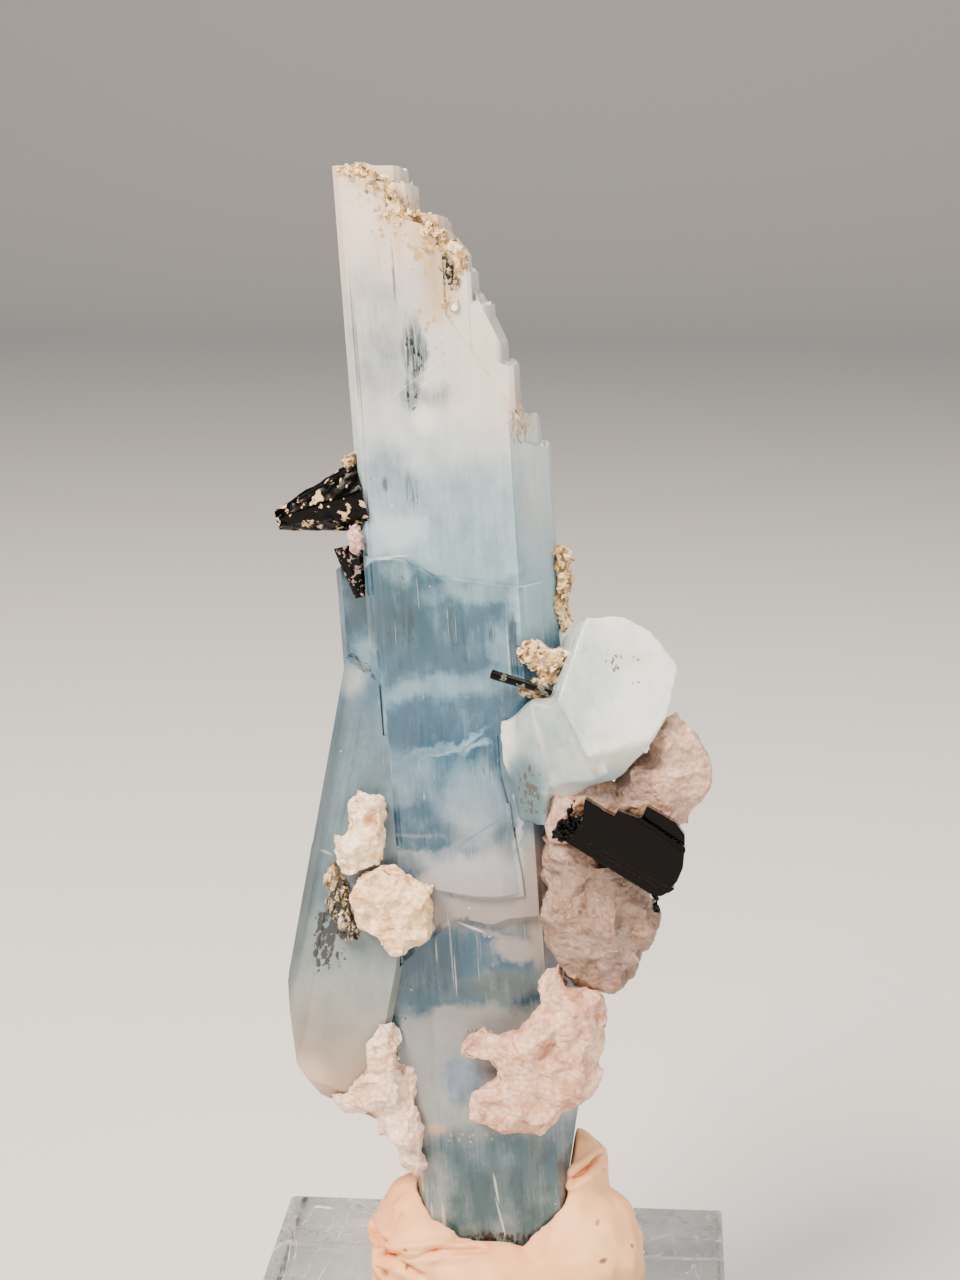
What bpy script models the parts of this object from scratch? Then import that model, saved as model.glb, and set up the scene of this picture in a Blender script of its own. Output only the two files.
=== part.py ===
"""An aquamarine crystal group that stands in mineral tack on a clear acrylic block.

The group is one tall, flattened bundle of parallel beryl prisms with a stepped top, a shorter crystal grown
against its left side, and a stubby pale beryl on its right.  Schorl prisms, feldspar lumps and muscovite crusts
sit on them.  Lengths are in millimetres until a mesh is made; meshes and places are in metres.

+X is the group's right, -Y its front and +Z up.  The origin is the middle of the block's underside.
"""

import math
from dataclasses import dataclass

import bmesh
import bpy
from mathutils import Euler, Matrix, Vector, noise

MM = 0.001

# Driving dimensions, in millimetres
BLOCK_SIDE = 76.2
BLOCK_THICKNESS = 25.4
BLOCK_EDGE = 0.7
FIT_GAP = 0.3
GROUP_FOOT = Vector((2.0, 0.0, 35.0))
MAIN_LEAN = math.radians(-3.8)
LEFT_FOOT = Vector((-24.3, -4.0, 64.0))
LEFT_LEAN = math.radians(10.6)
PRISM_ANGLE = math.radians(60.0)
# Mesh cleaning: points closer than WELD are one point, and edges shorter than SLIVER are dropped
WELD = 0.01
SLIVER = 0.005
# A swollen point moves at most this many gaps, so that sharp corners stay short
SHARPEST = 2.0

# Finishes: colour, roughness and metallic
FINISHES = {
    "acrylic": ((0.86, 0.90, 0.92, 1.0), 0.08, 0.0),
    "mineral_tack": ((0.80, 0.60, 0.44, 1.0), 0.65, 0.0),
    "aquamarine": ((0.30, 0.47, 0.53, 1.0), 0.12, 0.0),
    "pale_beryl": ((0.67, 0.72, 0.68, 1.0), 0.25, 0.0),
    "schorl": ((0.012, 0.011, 0.011, 1.0), 0.15, 0.0),
    "feldspar": ((0.76, 0.64, 0.55, 1.0), 0.55, 0.0),
    "muscovite": ((0.62, 0.48, 0.30, 1.0), 0.40, 0.0),
}


@dataclass(frozen=True)
class Blade:
    """One parallel prism of a bundle, in the bundle's own frame, in millimetres.

    The plan is a rectangle whose four corners are cut at the prism angle, and the top slopes from its left
    height to its right height and back by top_back.
    """

    left: float
    right: float
    front: float
    back: float
    foot: float
    top_left: float
    top_right: float
    top_back: float = 0.0
    cut_left: float = 1.0
    cut_right: float = 1.0
    foot_right: float = 0.0


@dataclass(frozen=True)
class Blob:
    """One chunk of a lump, round or square: its centre, half sizes and turn, in millimetres and degrees."""

    centre: tuple[float, float, float]
    radii: tuple[float, float, float]
    turn: tuple[float, float, float] = (0.0, 0.0, 0.0)
    square: bool = False


@dataclass(frozen=True)
class Lump:
    """A rough mass made of chunks melted together."""

    name: str
    finish: str
    blobs: tuple[Blob, ...]
    triangles: int
    roughness: float = 0.35
    grain: float = 3.0
    voxel: float = 0.7


REAR_BLADES = (
    # the stepped outline, highest on the left
    Blade(-13.2, -3.5, -5.2, 8.3, -3.0, 172.6, 172.0, -1.5, 0.6, 0.8),
    Blade(-9.0, -2.0, -5.8, 7.7, -3.0, 170.6, 169.3, -1.0, 1.0, 0.7),
    Blade(-7.0, 2.6, -6.1, 7.4, -3.0, 166.4, 164.6, -2.0, 1.0, 0.8),
    Blade(1.4, 5.2, -6.6, 6.9, -3.0, 164.2, 158.6, -1.0, 0.8, 0.7),
    Blade(-3.0, 6.1, -7.0, 7.6, -3.0, 158.8, 156.4, -1.0, 1.0, 0.6),
    Blade(-1.0, 8.4, -6.6, 6.0, -2.6, 153.4, 151.5, -1.0, 1.0, 0.9),
    Blade(6.6, 9.9, -7.1, 6.8, -2.6, 153.2, 145.8, -1.0, 0.8, 0.8),
    Blade(2.0, 11.5, -7.3, 5.7, -2.6, 145.0, 142.6, -1.0, 1.0, 0.8),
    Blade(4.0, 14.0, -7.8, 8.0, -2.2, 137.0, 135.0, -2.0, 1.5, 3.4),
    Blade(5.0, 15.3, -8.3, 8.9, -2.2, 134.6, 129.8, -1.0, 1.5, 4.6),
    Blade(-18.3, -7.0, 0.6, 9.2, 24.0, 112.4, 117.0, -2.0, 1.0, 1.0),
)

FRONT_BLADES = (
    # a little lower than the rear prisms, with broad flat faces
    Blade(-12.4, -4.9, -8.9, 1.0, -2.0, 171.6, 169.8, 0.6, 0.7, 0.5),
    Blade(-11.5, 2.2, -9.2, 0.5, -2.0, 167.6, 162.8, 0.6, 0.5, 0.7),
    Blade(-3.0, 12.2, -8.9, 0.0, -2.0, 158.8, 134.6, 0.5, 0.8, 1.9),
    # the younger layers over the middle of the front
    Blade(-12.3, -2.0, -10.6, -1.0, 52.0, 116.0, 112.2, 0.4, 1.2, 0.6, 8.0),
    Blade(-7.0, 13.3, -10.3, -1.0, 59.5, 113.4, 109.6, 0.4, 1.2, 3.0),
    Blade(-10.6, 6.0, -11.7, -2.0, 63.4, 96.0, 94.0, 0.0, 1.0, 0.9, 0.4),
    Blade(-6.5, 8.3, -11.2, -2.0, 63.0, 81.0, 77.0, 0.0, 0.8, 1.3, 0.4),
    Blade(-14.9, -6.0, -9.6, 5.0, 30.0, 60.0, 64.0, 0.0, 1.6, 1.0),
)

SHAFT_BLADES = (
    # the lower shaft that the tack grips
    Blade(-11.6, 9.0, -9.0, 6.5, -2.0, 61.0, 66.0, 0.0, 1.2, 2.0),
    Blade(-9.0, 14.3, -8.7, 7.6, -2.4, 70.0, 74.0, 0.0, 1.6, 3.8),
    Blade(-8.4, 5.5, -9.6, 2.0, -1.6, 50.0, 44.0, 0.3, 1.2, 1.0),
)

LEFT_BLADES = (
    Blade(-9.6, 7.5, -6.8, 6.0, -4.0, 70.2, 62.0, -2.0, 1.3, 3.0),
    Blade(-9.9, 4.0, -5.6, 6.8, -4.0, 39.6, 42.0, -1.0, 1.9, 2.0),
    Blade(-6.4, 8.5, -7.5, 4.0, -4.0, 58.5, 62.0, 0.0, 1.0, 2.0),
)

# Broken ends: a point on each plane and the way it faces, in the crystal's own frame
MAIN_LEFT_BREAK = ((-11.5, 0.0, 31.0), (-1.0, 0.0, -0.21))
SHAFT_BREAKS = (
    ((14.2, 0.0, 27.0), (1.0, 0.0, -0.2)),
    ((-10.6, 0.0, 6.0), (-1.0, 0.0, -1.0)),
    ((8.6, 0.0, 5.0), (1.0, 0.0, -1.0)),
)
LEFT_BREAKS = (
    ((-9.3, 0.0, 15.4), (-1.0, -0.08, -0.3)),
    ((-4.5, 0.0, 3.0), (-1.0, -0.2, -1.0)),
    ((0.0, 0.0, -0.2), (-0.26, -0.15, -1.0)),
    ((0.0, -7.0, 2.4), (-0.1, -1.0, -0.6)),
)

FELDSPAR_LUMPS = (
    Lump("feldspar_left_upper", "feldspar", (
        Blob((-17.8, -11.3, 110.0), (2.3, 2.3, 4.4), (0, 8, 10), True),
        Blob((-18.9, -11.2, 105.4), (3.3, 2.4, 2.6), (0, -20, 5), True),
        Blob((-18.0, -11.6, 107.4), (3.4, 2.7, 4.6), (0, 10, 0)),
    ), 480),
    Lump("feldspar_left_lower", "feldspar", (
        Blob((-15.6, -13.2, 99.6), (3.3, 2.5, 3.4), (10, 20, 15), True),
        Blob((-10.6, -13.0, 98.2), (2.6, 2.3, 3.0), (0, 5, -10), True),
        Blob((-12.4, -12.8, 93.6), (3.6, 2.4, 3.2), (0, -35, 5), True),
        Blob((-16.9, -12.4, 96.4), (3.0, 2.4, 4.2)),
    ), 620),
    Lump("feldspar_bottom_left", "feldspar", (
        Blob((-15.4, -10.8, 73.2), (2.5, 3.3, 5.4), (0, 6, 0)),
        Blob((-16.4, -10.8, 67.0), (4.2, 3.6, 4.4)),
        Blob((-19.6, -9.4, 65.2), (4.2, 3.2, 2.6), (0, 0, 10)),
        Blob((-13.0, -10.2, 61.4), (3.3, 3.3, 5.6), (0, -18, 0)),
        Blob((-11.2, -9.8, 56.0), (1.7, 2.7, 3.8), (0, -10, 0)),
    ), 560),
    Lump("feldspar_left_top", "feldspar", (
        Blob((-19.2, -9.6, 153.2), (1.2, 1.8, 2.0), (0, 0, 10)),
        Blob((-18.8, -9.8, 151.6), (1.0, 1.6, 1.4), (0, 20, 0)),
    ), 120, 0.25, 2.0, 0.4),
    Lump("feldspar_right_upper", "feldspar", (
        Blob((29.3, -9.4, 119.2), (3.0, 4.2, 4.2), (0, -15, 10), True),
        Blob((26.8, -9.2, 123.4), (3.0, 4.4, 3.7)),
        Blob((24.6, -9.6, 115.6), (4.4, 4.4, 3.4), (0, 20, 0), True),
        Blob((18.4, -9.6, 113.0), (6.2, 5.0, 3.9)),
        Blob((12.6, -9.4, 111.6), (4.0, 4.4, 3.3)),
        Blob((28.4, -9.2, 113.6), (2.3, 3.4, 2.6), (0, 30, 0), True),
    ), 760, 0.4, 3.6),
    Lump("feldspar_right_mid", "feldspar", (
        Blob((17.2, -9.6, 103.8), (7.6, 5.6, 5.4), (0, 20, 0)),
        Blob((12.0, -9.4, 106.0), (3.2, 4.4, 5.0)),
        Blob((18.4, -10.2, 95.2), (7.6, 5.6, 7.2), (0, 15, 0)),
        Blob((21.4, -9.8, 93.8), (3.2, 4.2, 4.0), (0, 30, 0), True),
        Blob((13.2, -10.2, 95.0), (4.4, 5.2, 8.2)),
        Blob((17.6, -9.4, 87.8), (5.6, 4.4, 4.6)),
    ), 760, 0.35, 3.6),
    Lump("feldspar_right_lower", "feldspar", (
        Blob((13.8, -12.2, 78.4), (4.7, 4.8, 8.0), (0, 8, 0)),
        Blob((13.0, -12.6, 70.8), (3.3, 3.7, 3.7), (0, 35, 10), True),
        Blob((7.7, -15.0, 77.4), (1.8, 2.3, 3.6), (0, 38, 0), True),
        Blob((1.0, -12.2, 75.0), (5.2, 2.5, 2.3), (0, -8, 0)),
        Blob((6.0, -12.8, 73.2), (5.2, 3.5, 3.6)),
        Blob((6.4, -13.0, 66.6), (7.0, 4.0, 5.2), (0, -15, 0)),
        Blob((1.6, -12.4, 65.4), (2.6, 2.7, 2.8), (0, 20, 0), True),
        Blob((11.4, -12.4, 84.2), (2.7, 3.6, 3.6)),
    ), 900, 0.4, 3.4),
)

MUSCOVITE_LUMPS = (
    Lump("muscovite_top", "muscovite", (
        Blob((-18.8, -8.9, 205.7), (3.2, 1.2, 1.2), (0, 3, 0)),
        Blob((-15.2, -9.2, 203.5), (2.6, 1.0, 2.2), (0, 30, 0)),
        Blob((-14.2, -9.3, 200.5), (2.1, 1.0, 2.6), (0, 5, 0)),
        Blob((-11.4, -9.3, 199.1), (3.0, 1.0, 1.7), (0, 5, 0)),
        Blob((-8.2, -9.1, 196.8), (3.0, 1.3, 2.3), (0, 35, 0)),
        Blob((-5.6, -8.1, 193.0), (2.8, 1.6, 3.6), (0, 12, 0)),
        Blob((-5.4, -8.3, 188.4), (1.9, 1.5, 3.3)),
    ), 560, 0.2, 1.6, 0.45),
    Lump("muscovite_left", "muscovite", (
        Blob((-22.4, -12.0, 101.0), (1.6, 1.4, 2.8), (0, 10, 0)),
        Blob((-21.6, -12.2, 97.4), (2.1, 1.6, 3.2), (0, 12, 0)),
        Blob((-20.1, -12.6, 93.8), (2.2, 1.8, 2.6), (0, 20, 0)),
    ), 220, 0.18, 1.7, 0.5),
    Lump("muscovite_cap", "muscovite", (
        Blob((-20.0, -6.0, 163.6), (1.6, 2.2, 1.0), (0, -20, 0)),
        Blob((-18.6, -6.2, 164.4), (1.2, 1.8, 0.9), (0, -10, 0)),
    ), 120, 0.2, 1.6, 0.35),
    Lump("muscovite_right_edge", "muscovite", (
        Blob((10.6, 0.4, 148.4), (1.6, 2.4, 1.9), (0, 20, 0)),
        Blob((10.9, 0.6, 145.0), (1.5, 2.6, 2.6), (0, 0, 15)),
        Blob((10.4, 0.4, 141.4), (1.4, 2.4, 2.6), (0, -6, 0)),
        Blob((10.9, 0.6, 138.6), (1.4, 2.2, 1.5), (0, 10, 0)),
    ), 320, 0.25, 1.8, 0.5),
    Lump("muscovite_middle", "muscovite", (
        Blob((7.4, -11.0, 136.2), (2.4, 1.8, 2.0), (0, 20, 20)),
        Blob((10.4, -10.4, 134.2), (2.6, 2.2, 2.6), (0, 0, 25)),
        Blob((7.6, -11.6, 129.8), (2.4, 1.6, 2.4), (0, 15, 10)),
    ), 320, 0.3, 1.8, 0.5),
)


def clear_scene() -> None:
    """Remove every object that the file starts with."""
    for thing in list(bpy.data.objects):
        bpy.data.objects.remove(thing)


def finish_material(name: str) -> bpy.types.Material:
    """Return the named finish, made the first time it is asked for."""
    if name in bpy.data.materials:
        return bpy.data.materials[name]
    colour, roughness, metallic = FINISHES[name]
    material = bpy.data.materials.new(name)
    material.use_nodes = True
    shader = material.node_tree.nodes["Principled BSDF"]
    shader.inputs["Base Color"].default_value = colour
    shader.inputs["Roughness"].default_value = roughness
    shader.inputs["Metallic"].default_value = metallic
    return material


def add_object(name: str, mesh_builder: bmesh.types.BMesh, finish: str, location=(0, 0, 0), lean=0.0):
    """Turn a bmesh into a named object with its finish, placed in millimetres."""
    mesh = bpy.data.meshes.new(name)
    mesh_builder.to_mesh(mesh)
    mesh_builder.free()
    mesh.materials.append(finish_material(finish))
    thing = bpy.data.objects.new(name, mesh)
    bpy.context.scene.collection.objects.link(thing)
    thing.location = Vector(location) * MM
    thing.rotation_euler = (0.0, lean, 0.0)
    return thing


def keep_modified(thing: bpy.types.Object) -> None:
    """Make an object's modified shape its own mesh."""
    bpy.context.view_layer.update()
    evaluated = thing.evaluated_get(bpy.context.evaluated_depsgraph_get())
    shape = bpy.data.meshes.new_from_object(evaluated)
    thing.modifiers.clear()
    thing.data = shape


def island_reach(island: set) -> float:
    """Return how far a set of vertices spreads, from corner to corner of its box."""
    spans = [[vertex.co[axis] for vertex in island] for axis in range(3)]
    return math.dist([min(span) for span in spans], [max(span) for span in spans])


def keep_main_island(thing: bpy.types.Object) -> None:
    """Weld stray points and leave only the biggest closed island of a mesh."""
    shape = bmesh.new()
    shape.from_mesh(thing.data)
    bmesh.ops.remove_doubles(shape, verts=shape.verts, dist=WELD * MM)
    bmesh.ops.dissolve_degenerate(shape, dist=SLIVER * MM, edges=shape.edges)
    islands = []
    unseen = set(shape.verts)
    while unseen:
        island = set()
        queue = [unseen.pop()]
        while queue:
            vertex = queue.pop()
            island.add(vertex)
            for edge in vertex.link_edges:
                other = edge.other_vert(vertex)
                if other in unseen:
                    unseen.discard(other)
                    queue.append(other)
        islands.append(island)
    islands.sort(key=island_reach)
    for island in islands[:-1]:
        bmesh.ops.delete(shape, geom=list(island), context="VERTS")
    bmesh.ops.triangulate(shape, faces=shape.faces)
    bmesh.ops.recalc_face_normals(shape, faces=shape.faces)
    shape.to_mesh(thing.data)
    shape.free()


def combine(thing: bpy.types.Object, tools: list, operation: str, solver: str = "EXACT") -> None:
    """Join other solids to one, or cut them out of it, and drop the tools."""
    for tool in tools:
        modifier = thing.modifiers.new(operation.lower(), "BOOLEAN")
        modifier.operation = operation
        modifier.solver = solver
        modifier.object = tool
    keep_modified(thing)
    keep_main_island(thing)
    for tool in tools:
        bpy.data.objects.remove(tool)


def swollen_copy(thing: bpy.types.Object, gap: float = FIT_GAP) -> bpy.types.Object:
    """Return a guide with another solid's shape, larger all round by a gap."""
    shape = bmesh.new()
    shape.from_mesh(thing.data)
    shape.normal_update()
    moves = [(vertex, vertex.normal * min(vertex.calc_shell_factor(), SHARPEST)) for vertex in shape.verts]
    for vertex, move in moves:
        vertex.co += move * gap * MM
    copy = add_object(f"{thing.name}_fit", shape, thing.data.materials[0].name)
    copy.matrix_world = thing.matrix_world.copy()
    copy.hide_render = True
    copy.display_type = "WIRE"
    return copy


def cut_to_fit(thing: bpy.types.Object, neighbours: list, gap: float = FIT_GAP) -> None:
    """Cut an object back from its neighbours, leaving a small gap.

    A rough lump can cross itself in its pits once it is swollen, and the exact solver then loses the shape, so
    this cut uses the manifold solver.
    """
    bpy.context.view_layer.update()
    combine(thing, [swollen_copy(other, gap) for other in neighbours], "DIFFERENCE", "MANIFOLD")


def offset_plan(plan: list, gap: float) -> list:
    """Move the sides of a convex plan outward by a gap."""
    count = len(plan)
    result = []
    for index, point in enumerate(plan):
        before = point - plan[index - 1]
        after = plan[(index + 1) % count] - point
        normal_a = Vector((before.y, -before.x)).normalized()
        normal_b = Vector((after.y, -after.x)).normalized()
        result.append(point + gap * (normal_a + normal_b) / (1.0 + normal_a.dot(normal_b)))
    return result


def blade_mesh(blade: Blade, gap: float = 0.0) -> bmesh.types.BMesh:
    """Extrude a blade's plan upward and slope its ends."""
    rise = math.tan(PRISM_ANGLE)
    left, right, front, back = blade.left, blade.right, blade.front, blade.back
    a, b = blade.cut_left, blade.cut_right
    plan = [
        Vector((left + a, front)), Vector((right - b, front)),
        Vector((right, front + b * rise)), Vector((right, back - a * rise)),
        Vector((right - a, back)), Vector((left + a, back)),
        Vector((left, back - a * rise)), Vector((left, front + a * rise)),
    ]
    plan = offset_plan(plan, gap)
    shape = bmesh.new()
    corners = [shape.verts.new((point.x, point.y, 0.0)) for point in plan]
    base = shape.faces.new(corners)
    grown = bmesh.ops.extrude_face_region(shape, geom=[base])["geom"]
    uppers = {item for item in grown if isinstance(item, bmesh.types.BMVert)}
    for vertex in shape.verts:
        across = (vertex.co.x - left) / (right - left)
        behind = (vertex.co.y - front) / (back - front)
        if vertex in uppers:
            height = blade.top_left + across * (blade.top_right - blade.top_left) + behind * blade.top_back
            vertex.co.z = height + gap
        else:
            vertex.co.z = blade.foot + across * blade.foot_right - gap
    bmesh.ops.scale(shape, vec=(MM, MM, MM), verts=shape.verts)
    bmesh.ops.recalc_face_normals(shape, faces=shape.faces)
    return shape


def slice_off(thing: bpy.types.Object, point: tuple, normal: tuple, gap: float = 0.0) -> None:
    """Cut away what lies past a plane, given in the object's own millimetres, and close the cut."""
    place = Vector(point) + Vector(normal).normalized() * gap
    shape = bmesh.new()
    shape.from_mesh(thing.data)
    geometry = shape.verts[:] + shape.edges[:] + shape.faces[:]
    cut = bmesh.ops.bisect_plane(
        shape, geom=geometry, plane_co=place * MM, plane_no=Vector(normal), clear_outer=True)
    rim = [item for item in cut["geom_cut"] if isinstance(item, bmesh.types.BMEdge)]
    bmesh.ops.holes_fill(shape, edges=rim, sides=0)
    bmesh.ops.recalc_face_normals(shape, faces=shape.faces)
    shape.to_mesh(thing.data)
    shape.free()


def crystal_bundle(name: str, blades: tuple, finish: str, foot: Vector, lean: float, gap: float = 0.0):
    """Join parallel blades into one solid crystal."""
    trunk = add_object(name, blade_mesh(blades[0], gap), finish, foot, lean)
    others = [
        add_object(f"{name}_blade", blade_mesh(blade, gap), finish, foot, lean)
        for blade in blades[1:]
    ]
    combine(trunk, others, "UNION")
    return trunk


def main_crystal(gap: float = 0.0) -> bpy.types.Object:
    """The tall stepped bundle, with its foot broken to a blunt wedge."""
    upper = REAR_BLADES + FRONT_BLADES
    crystal = crystal_bundle("aquamarine_main", upper, "aquamarine", GROUP_FOOT, MAIN_LEAN, gap)
    slice_off(crystal, *MAIN_LEFT_BREAK, gap)
    shaft = crystal_bundle("shaft", SHAFT_BLADES, "aquamarine", GROUP_FOOT, MAIN_LEAN, gap)
    combine(crystal, [shaft], "UNION")
    for point, normal in SHAFT_BREAKS:
        slice_off(crystal, point, normal, gap)
    keep_main_island(crystal)
    return crystal


def left_crystal(gap: float = 0.0) -> bpy.types.Object:
    """The shorter crystal against the left side, broken off below."""
    crystal = crystal_bundle("aquamarine_left", LEFT_BLADES, "aquamarine", LEFT_FOOT, LEFT_LEAN, gap)
    for point, normal in LEFT_BREAKS:
        slice_off(crystal, point, normal, gap)
    keep_main_island(crystal)
    return crystal


@dataclass(frozen=True)
class Prism:
    """A tapered prism that points along a line, in millimetres."""

    name: str
    start: tuple[float, float, float]
    end: tuple[float, float, float]
    radius_start: float
    radius_end: float
    turn: float
    flatten: float = 1.0
    sides: int = 6
    cuts: tuple = ()


SCHORL_PRISMS = (
    Prism("schorl_left", (-18.4, -4.6, 158.0), (-31.2, -6.4, 154.6), 6.2, 1.7, 10.0, 0.9, 9,
          (((-24.0, -6.0, 151.2), (0.1, -0.1, -1.0)), ((-20.0, -6.0, 163.6), (-0.3, -0.1, 1.0)))),
    Prism("schorl_left_lower", (-20.4, -7.2, 151.0), (-18.6, -8.8, 143.6), 2.7, 0.8, 0.0, 0.8, 7),
    Prism("schorl_needle", (1.2, -13.0, 133.3), (10.8, -14.6, 131.0), 0.75, 0.6, 0.0, 1.0, 6),
)

# The right schorl is three prisms side by side, each starting further along and standing higher
SCHORL_RIGHT_PRISMS = (
    Prism("schorl_right", (11.4, -17.8, 112.4), (28.6, -18.4, 104.2), 4.9, 4.9, 20.0, 0.9, 9,
          (((13.0, -18.0, 108.4), (-0.5, 0.0, -1.0)),)),
    Prism("schorl_step", (19.6, -17.6, 110.0), (28.7, -18.0, 105.6), 4.3, 4.3, 5.0, 0.9, 8),
    Prism("schorl_step", (24.4, -17.2, 110.0), (29.2, -17.4, 107.7), 3.5, 3.5, 15.0, 0.9, 7),
)

# The stub's end face: across and up from its middle, in the plane of the face, in millimetres
STUB_FACE = (
    (-3.2, 12.6), (2.9, 11.9), (7.2, 9.2), (10.9, 4.0),
    (7.0, -4.0), (-1.7, -11.9), (-5.3, -12.3), (-10.5, 0.5),
)
STUB_MIDDLE = Vector((20.4, -16.0, 131.0))
STUB_LENGTH = 21.0
STUB_DRIFT = 5.0
STUB_TURN = math.radians(30.0)
STUB_PITCH = math.radians(-24.0)
# Facets that cut the stub's lower and right edges: a point and the way each faces
STUB_FACETS = (
    ((-2.0, 0.0, -7.4), (0.1, -0.8, -0.9)),
    ((8.4, 0.0, 6.8), (0.8, -0.5, 0.5)),
)
# Corners of the frosted root that spreads from the stub over the main crystal's front
STUB_ROOT = (
    (2.3, -12.5, 129.4), (2.6, -12.7, 119.8), (5.4, -12.9, 113.4), (13.5, -14.5, 113.2),
    (19.0, -20.4, 120.6), (11.9, -20.6, 130.4), (4.0, -8.0, 128.0), (4.0, -8.0, 115.0),
    (16.0, -8.0, 116.0), (14.0, -8.0, 130.0),
)


def hull_solid(name: str, corners: tuple, finish: str, gap: float = 0.0) -> bpy.types.Object:
    """Wrap a flat-faced solid round some corners, grown by a gap."""
    middle = sum((Vector(corner) for corner in corners), Vector()) / len(corners)
    shape = bmesh.new()
    for corner in corners:
        shape.verts.new((Vector(corner) - middle) * MM)
    bmesh.ops.convex_hull(shape, input=shape.verts)
    shape.normal_update()
    moves = [(vertex, vertex.normal * vertex.calc_shell_factor()) for vertex in shape.verts]
    for vertex, move in moves:
        vertex.co += move * gap * MM
    return add_object(name, shape, finish, middle)


def stub_crystal(gap: float = 0.0) -> bpy.types.Object:
    """The short pale beryl that points forward and right from the main crystal."""
    plan = offset_plan([Vector(point) for point in reversed(STUB_FACE)], gap)
    shape = bmesh.new()
    face = shape.faces.new([shape.verts.new((point.x, -gap, point.y)) for point in plan])
    grown = bmesh.ops.extrude_face_region(shape, geom=[face])["geom"]
    far = [item for item in grown if isinstance(item, bmesh.types.BMVert)]
    bmesh.ops.translate(shape, vec=(STUB_DRIFT, STUB_LENGTH + 2.0 * gap, 0.0), verts=far)
    bmesh.ops.scale(shape, vec=(MM, MM, MM), verts=shape.verts)
    bmesh.ops.recalc_face_normals(shape, faces=shape.faces)
    stub = add_object("beryl_right", shape, "pale_beryl", STUB_MIDDLE)
    stub.rotation_euler = (STUB_PITCH, 0.0, STUB_TURN)
    for point, normal in STUB_FACETS:
        slice_off(stub, point, normal, gap)
    combine(stub, [hull_solid("root", STUB_ROOT, "pale_beryl", gap)], "UNION")
    return stub


def prism_solid(prism: Prism, gap: float = 0.0) -> bpy.types.Object:
    """Build a schorl prism along its line and bevel off its named corners."""
    start, end = Vector(prism.start), Vector(prism.end)
    line = end - start
    shape = bmesh.new()
    bmesh.ops.create_cone(
        shape, cap_ends=True, segments=prism.sides, radius1=(prism.radius_start + gap) * MM,
        radius2=(prism.radius_end + gap) * MM, depth=(line.length + 2.0 * gap) * MM)
    bmesh.ops.scale(shape, vec=(1.0, prism.flatten, 1.0), verts=shape.verts)
    bmesh.ops.rotate(shape, matrix=Matrix.Rotation(math.radians(prism.turn), 3, "Z"), verts=shape.verts)
    bmesh.ops.rotate(shape, matrix=line.to_track_quat("Z", "Y").to_matrix(), verts=shape.verts)
    middle = (start + end) / 2.0
    solid = add_object(prism.name, shape, "schorl", middle)
    for point, normal in prism.cuts:
        slice_off(solid, Vector(point) - middle, normal, gap)
    keep_main_island(solid)
    return solid


def stepped_schorl(gap: float = 0.0) -> bpy.types.Object:
    """The right schorl, with its prisms joined into one stepped solid."""
    body, *steps = [prism_solid(prism, gap) for prism in SCHORL_RIGHT_PRISMS]
    combine(body, steps, "UNION")
    return body


def lump_solid(lump: Lump) -> bpy.types.Object:
    """Melt a lump's chunks together, roughen the skin and thin the mesh."""
    middle = sum((Vector(blob.centre) for blob in lump.blobs), Vector()) / len(lump.blobs)
    shape = bmesh.new()
    for blob in lump.blobs:
        turn = Euler([math.radians(angle) for angle in blob.turn])
        place = Matrix.LocRotScale((Vector(blob.centre) - middle) * MM, turn, Vector(blob.radii) * MM)
        if blob.square:
            bmesh.ops.create_cube(shape, size=2.0, matrix=place)
        else:
            bmesh.ops.create_icosphere(shape, subdivisions=2, radius=1.0, matrix=place)
    solid = add_object(lump.name, shape, lump.finish, middle)
    remesh = solid.modifiers.new("melt", "REMESH")
    remesh.mode = "VOXEL"
    remesh.voxel_size = lump.voxel * MM
    keep_modified(solid)
    shape = bmesh.new()
    shape.from_mesh(solid.data)
    shape.normal_update()
    moves = []
    for vertex in shape.verts:
        place = (vertex.co / MM + middle) / lump.grain
        moves.append((vertex, vertex.normal * noise.turbulence(place, 3, True) * lump.roughness))
    for vertex, move in moves:
        vertex.co += move * lump.grain * MM
    shape.to_mesh(solid.data)
    shape.free()
    thin = solid.modifiers.new("thin", "DECIMATE")
    faces = sum(len(polygon.vertices) - 2 for polygon in solid.data.polygons)
    thin.ratio = min(1.0, lump.triangles / faces)
    keep_modified(solid)
    return solid


def acrylic_base() -> bpy.types.Object:
    """The square display block, with its edges polished round."""
    shape = bmesh.new()
    bmesh.ops.create_cube(shape, size=1.0)
    bmesh.ops.scale(shape, vec=(BLOCK_SIDE * MM, BLOCK_SIDE * MM, BLOCK_THICKNESS * MM), verts=shape.verts)
    bmesh.ops.bevel(
        shape, geom=shape.edges, offset=BLOCK_EDGE * MM, offset_type="OFFSET", segments=2, profile=0.5,
        affect="EDGES", material=-1)
    return add_object("acrylic_base", shape, "acrylic", (0.0, 0.0, BLOCK_THICKNESS / 2.0))


MINERAL_TACK = Lump("mineral_tack", "mineral_tack", (
    Blob((2.8, -1.0, 29.0), (22.2, 18.4, 10.0)),
    Blob((-10.4, -2.0, 37.6), (8.4, 12.0, 9.6), (0, 16, 0)),
    Blob((14.6, -3.0, 37.6), (9.8, 12.0, 10.6), (0, -16, 0)),
    Blob((14.0, 0.0, 47.8), (4.4, 7.4, 7.6), (0, 10, 0)),
    Blob((1.6, 6.0, 40.0), (13.0, 8.0, 8.6)),
    Blob((2.0, -9.8, 34.0), (12.4, 7.6, 7.2)),
    Blob((-11.6, -4.6, 43.4), (4.4, 6.6, 6.0), (0, 20, 0)),
), 860, 0.22, 9.0, 1.3)


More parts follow.
